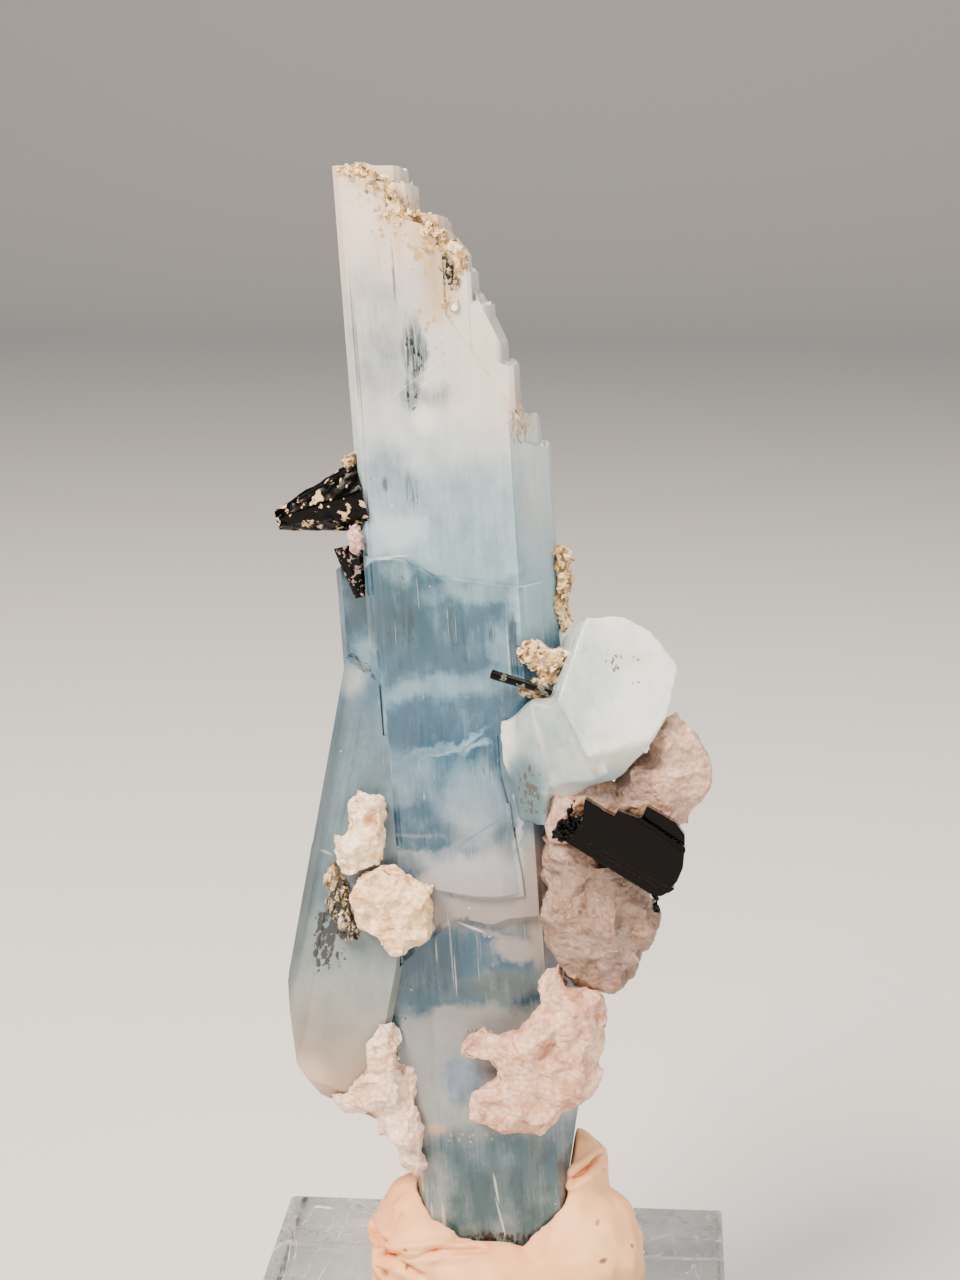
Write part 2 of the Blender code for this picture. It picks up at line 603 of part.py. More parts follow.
def mineral_tack(neighbours: list) -> bpy.types.Object:
    """The pressed mound of tack that grips the crystal's foot, flat where it meets the block."""
    mound = lump_solid(MINERAL_TACK)
    floor = (0.0, 0.0, BLOCK_THICKNESS + FIT_GAP - mound.location.z / MM)
    slice_off(mound, floor, (0.0, 0.0, -1.0))
    combine(mound, neighbours, "DIFFERENCE")
    return mound


def cut_from_crystals(thing: bpy.types.Object) -> None:
    """Cut an object back from the three beryl crystals."""
    combine(thing, [main_crystal(FIT_GAP), left_crystal(FIT_GAP), stub_crystal(FIT_GAP)], "DIFFERENCE")


def build() -> None:
    """Build every piece, each cut back from the pieces made before it."""
    clear_scene()
    acrylic_base()
    main_crystal()
    for crystal in (left_crystal(), stub_crystal()):
        combine(crystal, [main_crystal(FIT_GAP)], "DIFFERENCE")
    mineral_tack([main_crystal(FIT_GAP)])
    schorls = [stepped_schorl()] + [prism_solid(prism) for prism in SCHORL_PRISMS]
    for schorl in schorls:
        cut_from_crystals(schorl)
    done = schorls
    for lump in FELDSPAR_LUMPS + MUSCOVITE_LUMPS:
        solid = lump_solid(lump)
        cut_from_crystals(solid)
        cut_to_fit(solid, done)
        done.append(solid)


build()
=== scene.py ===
"""Looks of an aquamarine specimen that stands in mineral tack on a clear display block.

Each class holds the sizes of one kind of piece, builds its meshes and dresses them.  Crystals are worked in
their own frame, in millimetres, with z along the prism; finished meshes are in metres, in the frame of the
CAD.
"""

import logging
import math
import random
from dataclasses import dataclass, field
from enum import Enum

import bmesh
import bpy
from mathutils import Euler, Matrix, Vector, noise
from mathutils.geometry import intersect_point_line


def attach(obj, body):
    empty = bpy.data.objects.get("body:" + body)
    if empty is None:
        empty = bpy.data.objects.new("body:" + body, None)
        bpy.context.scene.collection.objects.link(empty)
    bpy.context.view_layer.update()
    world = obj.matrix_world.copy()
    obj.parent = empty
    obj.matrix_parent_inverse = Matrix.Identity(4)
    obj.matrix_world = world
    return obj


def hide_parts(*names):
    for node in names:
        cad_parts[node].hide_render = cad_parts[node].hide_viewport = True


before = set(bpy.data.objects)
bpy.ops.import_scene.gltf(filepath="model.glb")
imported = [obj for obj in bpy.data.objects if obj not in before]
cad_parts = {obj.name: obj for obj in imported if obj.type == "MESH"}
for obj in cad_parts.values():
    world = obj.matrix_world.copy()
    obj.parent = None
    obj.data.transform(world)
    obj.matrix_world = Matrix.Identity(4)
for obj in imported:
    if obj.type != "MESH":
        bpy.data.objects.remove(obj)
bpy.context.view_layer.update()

MM = 0.001
# Points of a CAD mesh closer than this are one point, in metres
WELD = 2e-6
# Faces that bend less than this are one flat crystal face
FLAT = math.radians(0.6)
UP = (0.0, 0.0, 1.0)
ROOT = "root"
LOG = logging.getLogger("specimen")

Triple = tuple[float, float, float]


class Slot(Enum):
    """The record's material slots."""

    TACK = "mineral_tack"
    AQUAMARINE = "aquamarine"
    PALE_BERYL = "pale_beryl"
    SCHORL = "schorl"
    FELDSPAR = "feldspar"
    MUSCOVITE = "muscovite"


# ---------------------------------------------------------------------------------------------------------
# Colours and nodes


def linear(code: str) -> tuple[float, float, float, float]:
    """Turn an sRGB hex colour into a linear one.

    Args:
        code: six hex digits after a hash.

    Returns:
        Red, green, blue and alpha, linear.
    """
    values = [int(code[index:index + 2], 16) / 255.0 for index in (1, 3, 5)]
    red, green, blue = [
        value / 12.92 if value <= 0.04045 else ((value + 0.055) / 1.055) ** 2.4 for value in values
    ]
    return (red, green, blue, 1.0)


def feed(tree: bpy.types.NodeTree, socket: bpy.types.NodeSocket, value) -> None:
    """Give a socket its value, or link it.

    Args:
        tree: the node tree.
        socket: the input.
        value: a plain value, a socket, or a node whose first output is linked.
    """
    if isinstance(value, bpy.types.Node):
        value = value.outputs[0]
    if isinstance(value, bpy.types.NodeSocket):
        tree.links.new(value, socket)
    else:
        socket.default_value = value


def add_node(tree: bpy.types.NodeTree, kind: str, inputs: dict | None = None, stops: tuple = (),
             **settings) -> bpy.types.Node:
    """Add one shader node with its settings and links.

    Args:
        tree: the node tree that it goes into.
        kind: the node's class name after "ShaderNode".
        inputs: socket name or number, and the value, node or socket that feeds it.
        stops: for a ramp, pairs of a position and a hex colour or a grey level.
        settings: the node's own attributes.

    Returns:
        The new node.
    """
    made = tree.nodes.new(f"ShaderNode{kind}")
    for name, value in settings.items():
        setattr(made, name, value)
    for name, value in (inputs or {}).items():
        feed(tree, made.inputs[name], value)
    for index, (position, value) in enumerate(stops):
        element = made.color_ramp.elements[index] if index < 2 else made.color_ramp.elements.new(position)
        element.position = position
        element.color = linear(value) if isinstance(value, str) else (value, value, value, 1.0)
    return made


@dataclass(frozen=True)
class Growth:
    """A crystal's own frame: where its z axis starts, in millimetres, and how it is turned."""

    foot: Triple
    turn: Triple = (0.0, 0.0, 0.0)

    @classmethod
    def leaning(cls, foot: Triple, degrees: float) -> "Growth":
        """Return an upright frame that leans about the front-back axis."""
        return cls(foot, (0.0, math.radians(degrees), 0.0))

    @classmethod
    def along(cls, start: Triple, end: Triple) -> "Growth":
        """Return a frame whose z axis runs from start to end."""
        turn = (Vector(end) - Vector(start)).to_track_quat("Z", "Y").to_euler()
        return cls(start, tuple(turn))

    def matrix(self) -> Matrix:
        """Return the matrix from crystal millimetres to scene metres."""
        return Matrix.LocRotScale(Vector(self.foot) * MM, Euler(self.turn), Vector((MM, MM, MM)))


MAIN_GROWTH = Growth.leaning((2.0, 0.0, 35.0), -3.8)
SIDE_GROWTH = Growth.leaning((-24.3, -4.0, 64.0), 10.6)


@dataclass(frozen=True)
class Veil:
    """A soft patch in a crystal, seen from the front, in millimetres.

    It has its middle, its half size, its strength, the softness of its edge, its lean in degrees and its
    tint.
    """

    across: float
    along: float
    half_width: float
    half_height: float
    level: float = 1.0
    edge: float = 0.4
    turn: float = 0.0
    colour: str = ""


def veils(*rows: tuple) -> tuple[Veil, ...]:
    """Return veils from rows of their values, in the order of their fields."""
    return tuple(Veil(*row) for row in rows)


@dataclass
class Recipe:
    """A material under way: its node tree, its shader and its object coordinates."""

    name: str
    material: bpy.types.Material = field(init=False)
    tree: bpy.types.NodeTree = field(init=False)
    shader: bpy.types.Node = field(init=False)
    output: bpy.types.Node = field(init=False)
    place: bpy.types.NodeSocket = field(init=False)

    def __post_init__(self) -> None:
        """Start the material."""
        self.material = bpy.data.materials.new(self.name)
        self.material.use_nodes = True
        self.tree = self.material.node_tree
        self.shader = self.tree.nodes["Principled BSDF"]
        self.output = self.tree.nodes["Material Output"]
        self.place = add_node(self.tree, "TexCoord").outputs["Object"]

    def set(self, **sockets) -> None:
        """Feed the shader's sockets, named with underscores for spaces."""
        for name, value in sockets.items():
            feed(self.tree, self.shader.inputs[name.replace("_", " ")], value)

    def local(self, growth: Growth) -> bpy.types.Node:
        """Return the coordinates in a crystal's own frame, in millimetres."""
        inputs = {
            "Vector": self.place,
            "Location": Vector(growth.foot) * MM,
            "Rotation": growth.turn,
            "Scale": (MM, MM, MM),
        }
        return self.stretched(add_node(self.tree, "Mapping", inputs, vector_type="TEXTURE"), (1.0, 1.0, 1.0))

    def part(self, place: bpy.types.Node, axis: Triple) -> bpy.types.NodeSocket:
        """Return how far coordinates lie along one axis."""
        inputs = {0: place, 1: axis}
        return add_node(self.tree, "VectorMath", inputs, operation="DOT_PRODUCT").outputs["Value"]

    def stretched(self, place: bpy.types.Node, scale: Triple) -> bpy.types.Node:
        """Return coordinates multiplied along each axis."""
        return add_node(self.tree, "VectorMath", {0: place, 1: scale}, operation="MULTIPLY")

    def scattered(self, place: bpy.types.Node, rate: float, reach: Triple) -> bpy.types.Node:
        """Return coordinates pushed about by noise.

        Args:
            place: coordinates.
            rate: the noise's scale.
            reach: how far it pushes along each axis, from end to end.

        Returns:
            The new coordinates.
        """
        wander = add_node(
            self.tree, "TexNoise", {"Vector": place, "Scale": rate, "Detail": 5.0, "Roughness": 0.62})
        sides = add_node(self.tree, "SeparateColor", {0: wander.outputs["Color"]}).outputs
        push = add_node(self.tree, "CombineXYZ", {0: sides[0], 1: sides[1], 2: sides[2]})
        push = add_node(self.tree, "VectorMath", {0: push, 1: (0.5, 0.5, 0.5)}, operation="SUBTRACT")
        return add_node(self.tree, "VectorMath", {0: push, 1: reach, 2: place}, operation="MULTIPLY_ADD")

    def patch(self, place: bpy.types.Node, veil: Veil) -> bpy.types.Node:
        """Return a soft mask of one veil.

        Args:
            place: coordinates in the veil's frame.
            veil: the patch.

        Returns:
            1 inside the veil and 0 outside it.
        """
        if veil.turn:
            inputs = {
                "Vector": place,
                "Center": (veil.across, 0.0, veil.along),
                "Angle": -math.radians(veil.turn),
            }
            place = add_node(self.tree, "VectorRotate", inputs, rotation_type="Y_AXIS")
        wide, high = 1.0 / veil.half_width, 1.0 / veil.half_height
        inputs = {0: place, 1: (wide, 0.0, high), 2: (-veil.across * wide, 0.0, -veil.along * high)}
        unit = add_node(self.tree, "VectorMath", inputs, operation="MULTIPLY_ADD")
        length = add_node(self.tree, "VectorMath", {0: unit}, operation="LENGTH").outputs["Value"]
        inputs = {0: length, 1: 1.0 + veil.edge, 2: 1.0 - veil.edge}
        return add_node(self.tree, "MapRange", inputs, interpolation_type="SMOOTHSTEP")

    def shaded(self, place: bpy.types.Node, veil: Veil) -> bpy.types.Node:
        """Return a soft mask of one veil at its own strength."""
        return add_node(self.tree, "Math", {0: self.patch(place, veil), 1: veil.level}, operation="MULTIPLY")

    def tinted(self, colour, place: bpy.types.Node, marks: tuple[Veil, ...]):
        """Return a colour with tinted patches laid over it, one after the other."""
        for veil in marks:
            colour = self.blend(self.shaded(place, veil), colour, veil.colour)
        return colour

    def joined(self, total, layer: bpy.types.Node, operation: str) -> bpy.types.Node:
        """Return a layer joined to the total so far, or the layer alone where there is none yet."""
        if total is None:
            return layer
        return add_node(self.tree, "Math", {0: total, 1: layer}, operation=operation)

    def level(self, place, stops: tuple, smooth: bool = False) -> bpy.types.NodeSocket:
        """Return a grey level that follows stops.

        Args:
            place: what the stops' positions are read from, 0 to 1.
            stops: pairs of a position and a grey level.
            smooth: bend the lines between the stops.

        Returns:
            The level.
        """
        ramp = add_node(self.tree, "ValToRGB", {0: place}, stops=stops)
        if smooth:
            ramp.color_ramp.interpolation = "B_SPLINE"
        return add_node(self.tree, "SeparateColor", {0: ramp}).outputs[0]

    def blend(self, mask, first, second) -> bpy.types.NodeSocket:
        """Return a mix of two colours, each a hex colour, a node or a socket."""
        first, second = (linear(colour) if isinstance(colour, str) else colour for colour in (first, second))
        return add_node(self.tree, "Mix", {0: mask, 6: first, 7: second}, data_type="RGBA").outputs[2]


# ---------------------------------------------------------------------------------------------------------
# Mesh tools


def eased(low: float, high: float, value: float) -> float:
    """Return a smooth step from 0 at low to 1 at high."""
    share = min(1.0, max(0.0, (value - low) / (high - low)))
    return share * share * (3.0 - 2.0 * share)


def toward(value: float, goal: float, share: float) -> float:
    """Return a value moved a share of the way to its goal."""
    return goal + (value - goal) * (1.0 - share)


def through(points: tuple, place: float) -> float:
    """Follow a smooth line through points, which is level beyond its ends.

    Args:
        points: pairs of a place and a height, in order.
        place: where the line is read.

    Returns:
        The height there.
    """
    if place <= points[0][0]:
        return points[0][1]
    for (left, low), (right, high) in zip(points, points[1:]):
        if place <= right:
            return low + (high - low) * eased(left, right, place)
    return points[-1][1]


def shift(moves: list[tuple[bmesh.types.BMVert, Vector]]) -> None:
    """Move vertices, once every move is known."""
    for vertex, move in moves:
        vertex.co += move


def absorb(shape: bmesh.types.BMesh, part: bmesh.types.BMesh) -> None:
    """Add one mesh to another.

    Args:
        shape: the mesh that grows.
        part: the mesh that it takes in, which is used up.
    """
    mesh = bpy.data.meshes.new("part")
    part.to_mesh(mesh)
    part.free()
    shape.from_mesh(mesh)
    bpy.data.meshes.remove(mesh)


def cad_copy(node: str) -> bmesh.types.BMesh:
    """Return a welded copy of a CAD node's mesh."""
    shape = bmesh.new()
    shape.from_mesh(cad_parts[node].data)
    bmesh.ops.remove_doubles(shape, verts=shape.verts, dist=WELD)
    bmesh.ops.recalc_face_normals(shape, faces=shape.faces)
    return shape


def crystal_copy(node: str, growth: Growth) -> bmesh.types.BMesh:
    """Return a CAD crystal with each flat face in one.

    Args:
        node: the CAD node.
        growth: the crystal's own frame.

    Returns:
        Its mesh in crystal millimetres.
    """
    shape = cad_copy(node)
    shape.transform(growth.matrix().inverted())
    bmesh.ops.dissolve_limit(
        shape, angle_limit=FLAT, verts=shape.verts, edges=shape.edges, use_dissolve_boundaries=False)
    return shape


def melted(shape: bmesh.types.BMesh, voxel: float) -> bmesh.types.BMesh:
    """Return a shape remade as one even skin.

    Args:
        shape: a closed mesh in metres, which is used up.
        voxel: the width of the new faces, in millimetres.

    Returns:
        The new shape.
    """
    mesh = bpy.data.meshes.new("melt")
    shape.to_mesh(mesh)
    shape.free()
    thing = bpy.data.objects.new("melt", mesh)
    bpy.context.scene.collection.objects.link(thing)
    remesh = thing.modifiers.new("melt", "REMESH")
    remesh.mode = "VOXEL"
    remesh.voxel_size = voxel * MM
    bpy.context.view_layer.update()
    evaluated = thing.evaluated_get(bpy.context.evaluated_depsgraph_get())
    skin = bpy.data.meshes.new_from_object(evaluated)
    result = bmesh.new()
    result.from_mesh(skin)
    bpy.data.objects.remove(thing)
    bpy.data.meshes.remove(skin)
    bpy.data.meshes.remove(mesh)
    return result


def facet(shape: bmesh.types.BMesh, size: float, amount: float, tilt: float, seed: int) -> None:
    """Flatten patches of a skin, so that it reads as broken or grown grains.

    Args:
        shape: a fine mesh in metres.
        size: the width of a patch, in millimetres.
        amount: how flat a patch becomes, from 0 to 1.
        tilt: how far a patch turns away from the skin under it.
        seed: which of the random layouts is used.
    """
    shape.normal_update()
    draw = random.Random(seed)
    start = Vector((seed * 3.7, seed * 1.3, seed * 2.9))
    patches: dict[tuple, list] = {}
    for vertex in shape.verts:
        point = noise.voronoi(vertex.co / (size * MM) + start)[1][0]
        patches.setdefault(tuple(round(value, 3) for value in point), []).append(vertex)
    for _, patch in sorted(patches.items(), key=lambda item: item[0]):
        middle = sum((vertex.co for vertex in patch), Vector()) / len(patch)
        normal = sum((vertex.normal for vertex in patch), Vector()) / len(patch)
        lean = Vector((draw.gauss(0.0, tilt), draw.gauss(0.0, tilt), draw.gauss(0.0, tilt)))
        # A patch that wraps round an edge has no side of its own and stays
        if normal.length < 0.3:
            continue
        normal = (normal.normalized() + lean).normalized()
        for vertex in patch:
            vertex.co -= normal * (vertex.co - middle).dot(normal) * amount


def roughen(shape: bmesh.types.BMesh, size: float, height: float, seed: int, hard: bool = False) -> None:
    """Push a skin in and out by turbulent noise.

    Args:
        shape: a fine mesh in metres.
        size: the width of a bump, in millimetres.
        height: how far it pushes from end to end, in millimetres.
        seed: which of the random layouts is used.
        hard: leave sharp creases between the bumps.
    """
    shape.normal_update()
    start = Vector((seed * 7.1, seed * 3.3, seed * 5.7))
    middle = 0.45
    shift([
        (vertex, vertex.normal * (
            noise.turbulence(vertex.co / (size * MM) + start, 3, hard) - middle) * height * MM)
        for vertex in shape.verts
    ])


def relax(shape: bmesh.types.BMesh, rounds: int) -> None:
    """Smooth a skin a few times."""
    for _ in range(rounds):
        bmesh.ops.smooth_vert(
            shape, verts=shape.verts, factor=0.5, use_axis_x=True, use_axis_y=True, use_axis_z=True)


def slice_grid(shape: bmesh.types.BMesh, axis: int, low: float, high: float, step: float, seed: int) -> None:
    """Cut a mesh across one axis at uneven steps, in the mesh's own units.

    Args:
        shape: the mesh.
        axis: 0, 1 or 2 for x, y or z.
        low: the first cut.
        high: the last cut.
        step: the mean distance between cuts.
        seed: which random spacing is used.
    """
    draw = random.Random(seed)
    normal = Vector((0.0, 0.0, 0.0))
    normal[axis] = 1.0
    place = low
    while place < high:
        geometry = shape.verts[:] + shape.edges[:] + shape.faces[:]
        bmesh.ops.bisect_plane(shape, geom=geometry, dist=1e-4, plane_co=normal * place, plane_no=normal)
        place += step * draw.uniform(0.55, 1.45)


def show(name: str, shape: bmesh.types.BMesh, material: bpy.types.Material, node: str,
         sharp: float) -> None:
    """Turn a finished shape into a piece that rides on the root body.

    Args:
        name: the piece's name.
        shape: its mesh in metres, which is used up.
        material: its finish.
        node: the CAD node that it stands for.
        sharp: edges above this angle stay crisp, in degrees.
    """
    mesh = bpy.data.meshes.new(name)
    shape.to_mesh(mesh)
    shape.free()
    mesh.materials.append(material)
    mesh.polygons.foreach_set("use_smooth", [True] * len(mesh.polygons))
    mesh.set_sharp_from_angle(angle=math.radians(sharp))
    piece = bpy.data.objects.new(name, mesh)
    bpy.context.scene.collection.objects.link(piece)
    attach(piece, ROOT)
    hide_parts(node)
    triangles = sum(len(polygon.vertices) - 2 for polygon in mesh.polygons)
    LOG.info("%s: %d triangles", name, triangles)


# ---------------------------------------------------------------------------------------------------------
# Finishes


@dataclass(frozen=True)
class BerylFinish:
    """Beryl: a glassy prism whose growth zones run from clear teal to milky white.

    The clear zones let light through and hold the teal in their depth, and the milky ones scatter it.
    """

    name: str
    growth: Growth
    length: float
    milkiness: tuple
    clear_colours: tuple
    milky_colours: tuple
    veils: tuple[Veil, ...] = ()
    stains: tuple[Veil, ...] = ()
    grains: tuple[Veil, ...] = ()
    tubes: tuple[Veil, ...] = ()
    flecks: tuple[Veil, ...] = ()
    grain_colour: str = "#14191B"
    tube_colour: str = "#2E464F"
    scratch_colour: str = "#F4F5F2"
    fleck_colour: str = "#CFA970"
    # The lower edge of the milky cap, as places across and along, and the milkiness above it
    wave: tuple = ()
    cap_milkiness: tuple = ()
    # Where the wave is read, across and along, and how soft its edge is
    wave_across: tuple[float, float] = (-16.0, 16.0)
    wave_along: tuple[float, float] = (105.0, 121.0)
    wave_edge: float = 0.25
    clearest: float = 0.62
    cloudiest: float = 0.10
    smooth: float = 0.07
    frosted: float = 0.26
    # Aquamarine, about 1.577
    ior: float = 1.577
    absorption_colour: str = "#2F8FAE"
    absorption_density: float = 55.0
    mottle: float = 1.0
    opaque_grains: bool = False

    def make(self) -> bpy.types.Material:
        """Build the material."""
        recipe = Recipe(self.name)
        tree = recipe.tree
        place = recipe.local(self.growth)
        # Cloudy edges wander by about 1 mm over 5 mm
        bent = recipe.scattered(place, 0.2, (5.0, 5.0, 6.0))
        along = recipe.part(bent, UP)
        height = add_node(tree, "Math", {0: along, 1: self.length}, operation="DIVIDE")
        milk, streaks, hollows = self.cloudiness(recipe, place, bent, height)
        colour = self.body(recipe, place, height, milk, hollows)
        clear = add_node(tree, "MapRange", {0: milk, 3: self.clearest, 4: self.cloudiest})
        if self.grains:
            grain = self.specks(recipe, place, self.grains, (1.5, 1.5, 0.7))
            colour = recipe.blend(grain, colour, self.grain_colour)
            if self.opaque_grains:
                solid = add_node(tree, "Math", {0: 1.0, 1: grain}, operation="SUBTRACT")
                clear = add_node(tree, "Math", {0: clear, 1: solid}, operation="MULTIPLY")
        rough = add_node(tree, "MapRange", {0: milk, 3: self.smooth, 4: self.frosted})
        ridge = add_node(tree, "Bump", {"Height": streaks, "Strength": 0.22, "Distance": 0.05 * MM})
        recipe.set(Base_Color=colour, Roughness=rough, Transmission_Weight=clear, IOR=self.ior, Normal=ridge)
        inputs = {"Color": linear(self.absorption_colour), "Density": self.absorption_density}
        absorb_light = add_node(tree, "VolumeAbsorption", inputs)
        tree.links.new(absorb_light.outputs[0], recipe.output.inputs["Volume"])
        return recipe.material

    def cloudiness(self, recipe: Recipe, place: bpy.types.Node, bent: bpy.types.Node,
                   height: bpy.types.Node) -> tuple:
        """Work out how milky the crystal is.

        Args:
            recipe: the material under way.
            place: coordinates in the crystal's frame.
            bent: the same, pushed about by noise.
            height: the share of the crystal's length.

        Returns:
            The milkiness, and the noises of its streaks and of its hollow tubes.
        """
        tree = recipe.tree
        milk = recipe.level(height, self.milkiness)
        if self.wave:
            milk = self.above_wave(recipe, place, height, milk)
        for veil in self.veils:
            mask = recipe.patch(bent, veil)
            milk = add_node(tree, "Mix", {0: mask, 2: milk, 3: veil.level}, data_type="FLOAT")
        streaks, hollows, mottle = self.mottles(recipe, place)
        # Milky zones are the more even ones
        calm = add_node(tree, "MapRange", {0: milk, 3: self.mottle, 4: self.mottle * 0.12})
        mottle = add_node(tree, "Math", {0: mottle, 1: calm}, operation="MULTIPLY")
        milk = add_node(tree, "Math", {0: milk, 1: mottle}, operation="ADD", use_clamp=True)
        return milk, streaks, hollows

    def body(self, recipe: Recipe, place: bpy.types.Node, height: bpy.types.Node, milk: bpy.types.Node,
             hollows: bpy.types.Node) -> bpy.types.NodeSocket:
        """Work out the crystal's colour, but for its grains.

        Args:
            recipe: the material under way.
            place: coordinates in the crystal's frame.
            height: the share of the crystal's length.
            milk: the milkiness.
            hollows: the noise of the hollow tubes.

        Returns:
            The colour.
        """
        tree = recipe.tree
        clear = add_node(tree, "ValToRGB", {0: height}, stops=self.clear_colours)
        milky = add_node(tree, "ValToRGB", {0: height}, stops=self.milky_colours)
        colour = recipe.blend(milk, clear, milky)
        clarity = add_node(tree, "Math", {0: 1.0, 1: milk}, operation="SUBTRACT")
        dark = add_node(tree, "MapRange", {0: hollows, 1: 0.55, 2: 0.64, 4: 0.7})
        dark = add_node(tree, "Math", {0: dark, 1: clarity}, operation="MULTIPLY")
        deeper = add_node(tree, "HueSaturation", {"Color": colour, "Value": 0.55, "Saturation": 1.1})
        colour = recipe.blend(dark, colour, deeper)
        colour = recipe.tinted(colour, place, self.stains)
        if self.tubes:
            colour = recipe.blend(self.stripes(recipe, place), colour, self.tube_colour)
        colour = recipe.blend(self.scratches(recipe, place, clarity), colour, self.scratch_colour)
        if self.flecks:
            flecks = self.specks(recipe, place, self.flecks, (1.1, 1.1, 0.75))
            colour = recipe.blend(flecks, colour, self.fleck_colour)
        return colour

    def mottles(self, recipe: Recipe, place: bpy.types.Node) -> tuple:
        """Return the fine streaks, the growth tubes, and all the mottling in one.

        Args:
            recipe: the material under way.
            place: coordinates in the crystal's frame.

        Returns:
            Noise of streaks 0.4 mm apart, noise of tubes 1 mm apart, and an uneven milkiness.
        """
        layers = []
        total = None
        # Rates along each axis to the millimetre, and how milky or clear the layer makes it
        for rate, amount in (((2.4, 2.4, 0.07), 0.10), ((1.0, 1.0, 0.11), 0.13), ((0.3, 0.3, 0.19), 0.34)):
            inputs = {"Vector": recipe.stretched(place, rate), "Scale": 1.0, "Detail": 4.0, "Roughness": 0.6}
            layer = add_node(recipe.tree, "TexNoise", inputs)
            part = add_node(recipe.tree, "MapRange", {0: layer, 1: 0.3, 2: 0.7, 3: -amount, 4: amount})
            total = recipe.joined(total, part, "ADD")
            layers.append(layer)
        return layers[0], layers[1], total

    def scratches(self, recipe: Recipe, place: bpy.types.Node, clarity: bpy.types.Node) -> bpy.types.Node:
        """Return a mask of hair-thin white lines and bright dots.

        Args:
            recipe: the material under way.
            place: coordinates in the crystal's frame.
            clarity: how clear the crystal is, because the lines show in its clear parts.

        Returns:
            The mask.
        """
        tree = recipe.tree
        # Lines about 0.15 mm wide and 8 mm long, in patches 2.5 mm wide
        inputs = {"Vector": recipe.stretched(place, (3.4, 3.4, 0.09)), "Scale": 1.0, "Detail": 2.0}
        lines = add_node(tree, "TexNoise", inputs)
        thin = add_node(tree, "MapRange", {0: lines, 1: 0.66, 2: 0.72})
        inputs = {"Vector": recipe.stretched(place, (0.4, 0.4, 0.16)), "Scale": 1.0, "Detail": 2.0}
        area = add_node(tree, "TexNoise", inputs)
        where = add_node(tree, "MapRange", {0: area, 1: 0.50, 2: 0.60, 4: 0.6})
        thin = add_node(tree, "Math", {0: thin, 1: where}, operation="MULTIPLY")
        thin = add_node(tree, "Math", {0: thin, 1: clarity}, operation="MULTIPLY")
        # Dots up to 0.4 mm wide, in one cell of 2.5 mm out of three
        cells = add_node(
            tree, "TexVoronoi", {"Vector": recipe.stretched(place, (0.4, 0.4, 0.4)), "Scale": 1.0})
        pick = add_node(tree, "SeparateColor", {0: cells.outputs["Color"]}).outputs[0]
        size = add_node(tree, "MapRange", {0: pick, 1: 0.66, 2: 1.0, 4: 0.09})
        inside = add_node(tree, "Math", {0: size, 1: cells}, operation="SUBTRACT")
        dots = add_node(tree, "MapRange", {0: inside, 2: 0.02, 4: 0.7})
        return add_node(tree, "Math", {0: thin, 1: dots}, operation="MAXIMUM")

    def above_wave(self, recipe: Recipe, place: bpy.types.Node, height: bpy.types.Node,
                   milk: bpy.types.Node) -> bpy.types.Node:
        """Return the milkiness with the crisp, wavy line where the milky cap begins.

        Args:
            recipe: the material under way.
            place: coordinates in the crystal's frame.
            height: the share of the crystal's length.
            milk: the milkiness below the line.

        Returns:
            The milkiness above and below it.
        """
        tree = recipe.tree
        (left, right), (low, high) = self.wave_across, self.wave_along
        across = recipe.part(place, (1.0, 0.0, 0.0))
        unit = add_node(tree, "MapRange", {0: across, 1: left, 2: right})
        stops = tuple(((x - left) / (right - left), (z - low) / (high - low)) for x, z in self.wave)
        line = recipe.level(unit, stops, smooth=True)
        level = add_node(tree, "MapRange", {0: line, 3: low, 4: high})
        along = recipe.part(place, UP)
        over = add_node(tree, "Math", {0: along, 1: level}, operation="SUBTRACT")
        mask = add_node(tree, "MapRange", {0: over, 1: -self.wave_edge, 2: self.wave_edge})
        cap = recipe.level(height, self.cap_milkiness)
        return add_node(tree, "Mix", {0: mask, 2: milk, 3: cap}, data_type="FLOAT")

    def patches(self, recipe: Recipe, place: bpy.types.Node, marks: tuple[Veil, ...]) -> bpy.types.Node:
        """Return one mask of several patches, each at its own strength."""
        total = None
        for veil in marks:
            total = recipe.joined(total, recipe.shaded(place, veil), "MAXIMUM")
        return total

    def stripes(self, recipe: Recipe, place: bpy.types.Node) -> bpy.types.Node:
        """Return a mask of the dark hollow tubes along the prism.

        Args:
            recipe: the material under way.
            place: coordinates in the crystal's frame.

        Returns:
            Dark lines about 0.4 mm apart, in the patches of tubes.
        """
        tree = recipe.tree
        inputs = {
            "Vector": recipe.stretched(place, (2.6, 2.6, 0.16)), "Scale": 1.0, "Detail": 3.0,
            "Roughness": 0.6}
        lines = add_node(tree, "TexNoise", inputs)
        lines = add_node(tree, "MapRange", {0: lines, 1: 0.47, 2: 0.56, 3: 0.12, 4: 0.85})
        area = self.patches(recipe, place, self.tubes)
        return add_node(tree, "Math", {0: lines, 1: area}, operation="MULTIPLY")

    def specks(self, recipe: Recipe, place: bpy.types.Node, marks: tuple[Veil, ...],
               rate: Triple) -> bpy.types.Node:
        """Return a mask of small ragged inclusions in some patches.

        Args:
            recipe: the material under way.
            place: coordinates in the crystal's frame.
            marks: the patches.
            rate: how many specks there are to the millimetre along each axis.

        Returns:
            A mask of specks, wider where a patch is stronger.
        """
        tree = recipe.tree
        ragged = recipe.scattered(place, 2.2, (1.0, 1.0, 1.0))
        inputs = {"Vector": recipe.stretched(ragged, rate), "Scale": 1.0, "Randomness": 1.0}
        dots = add_node(tree, "TexVoronoi", inputs)
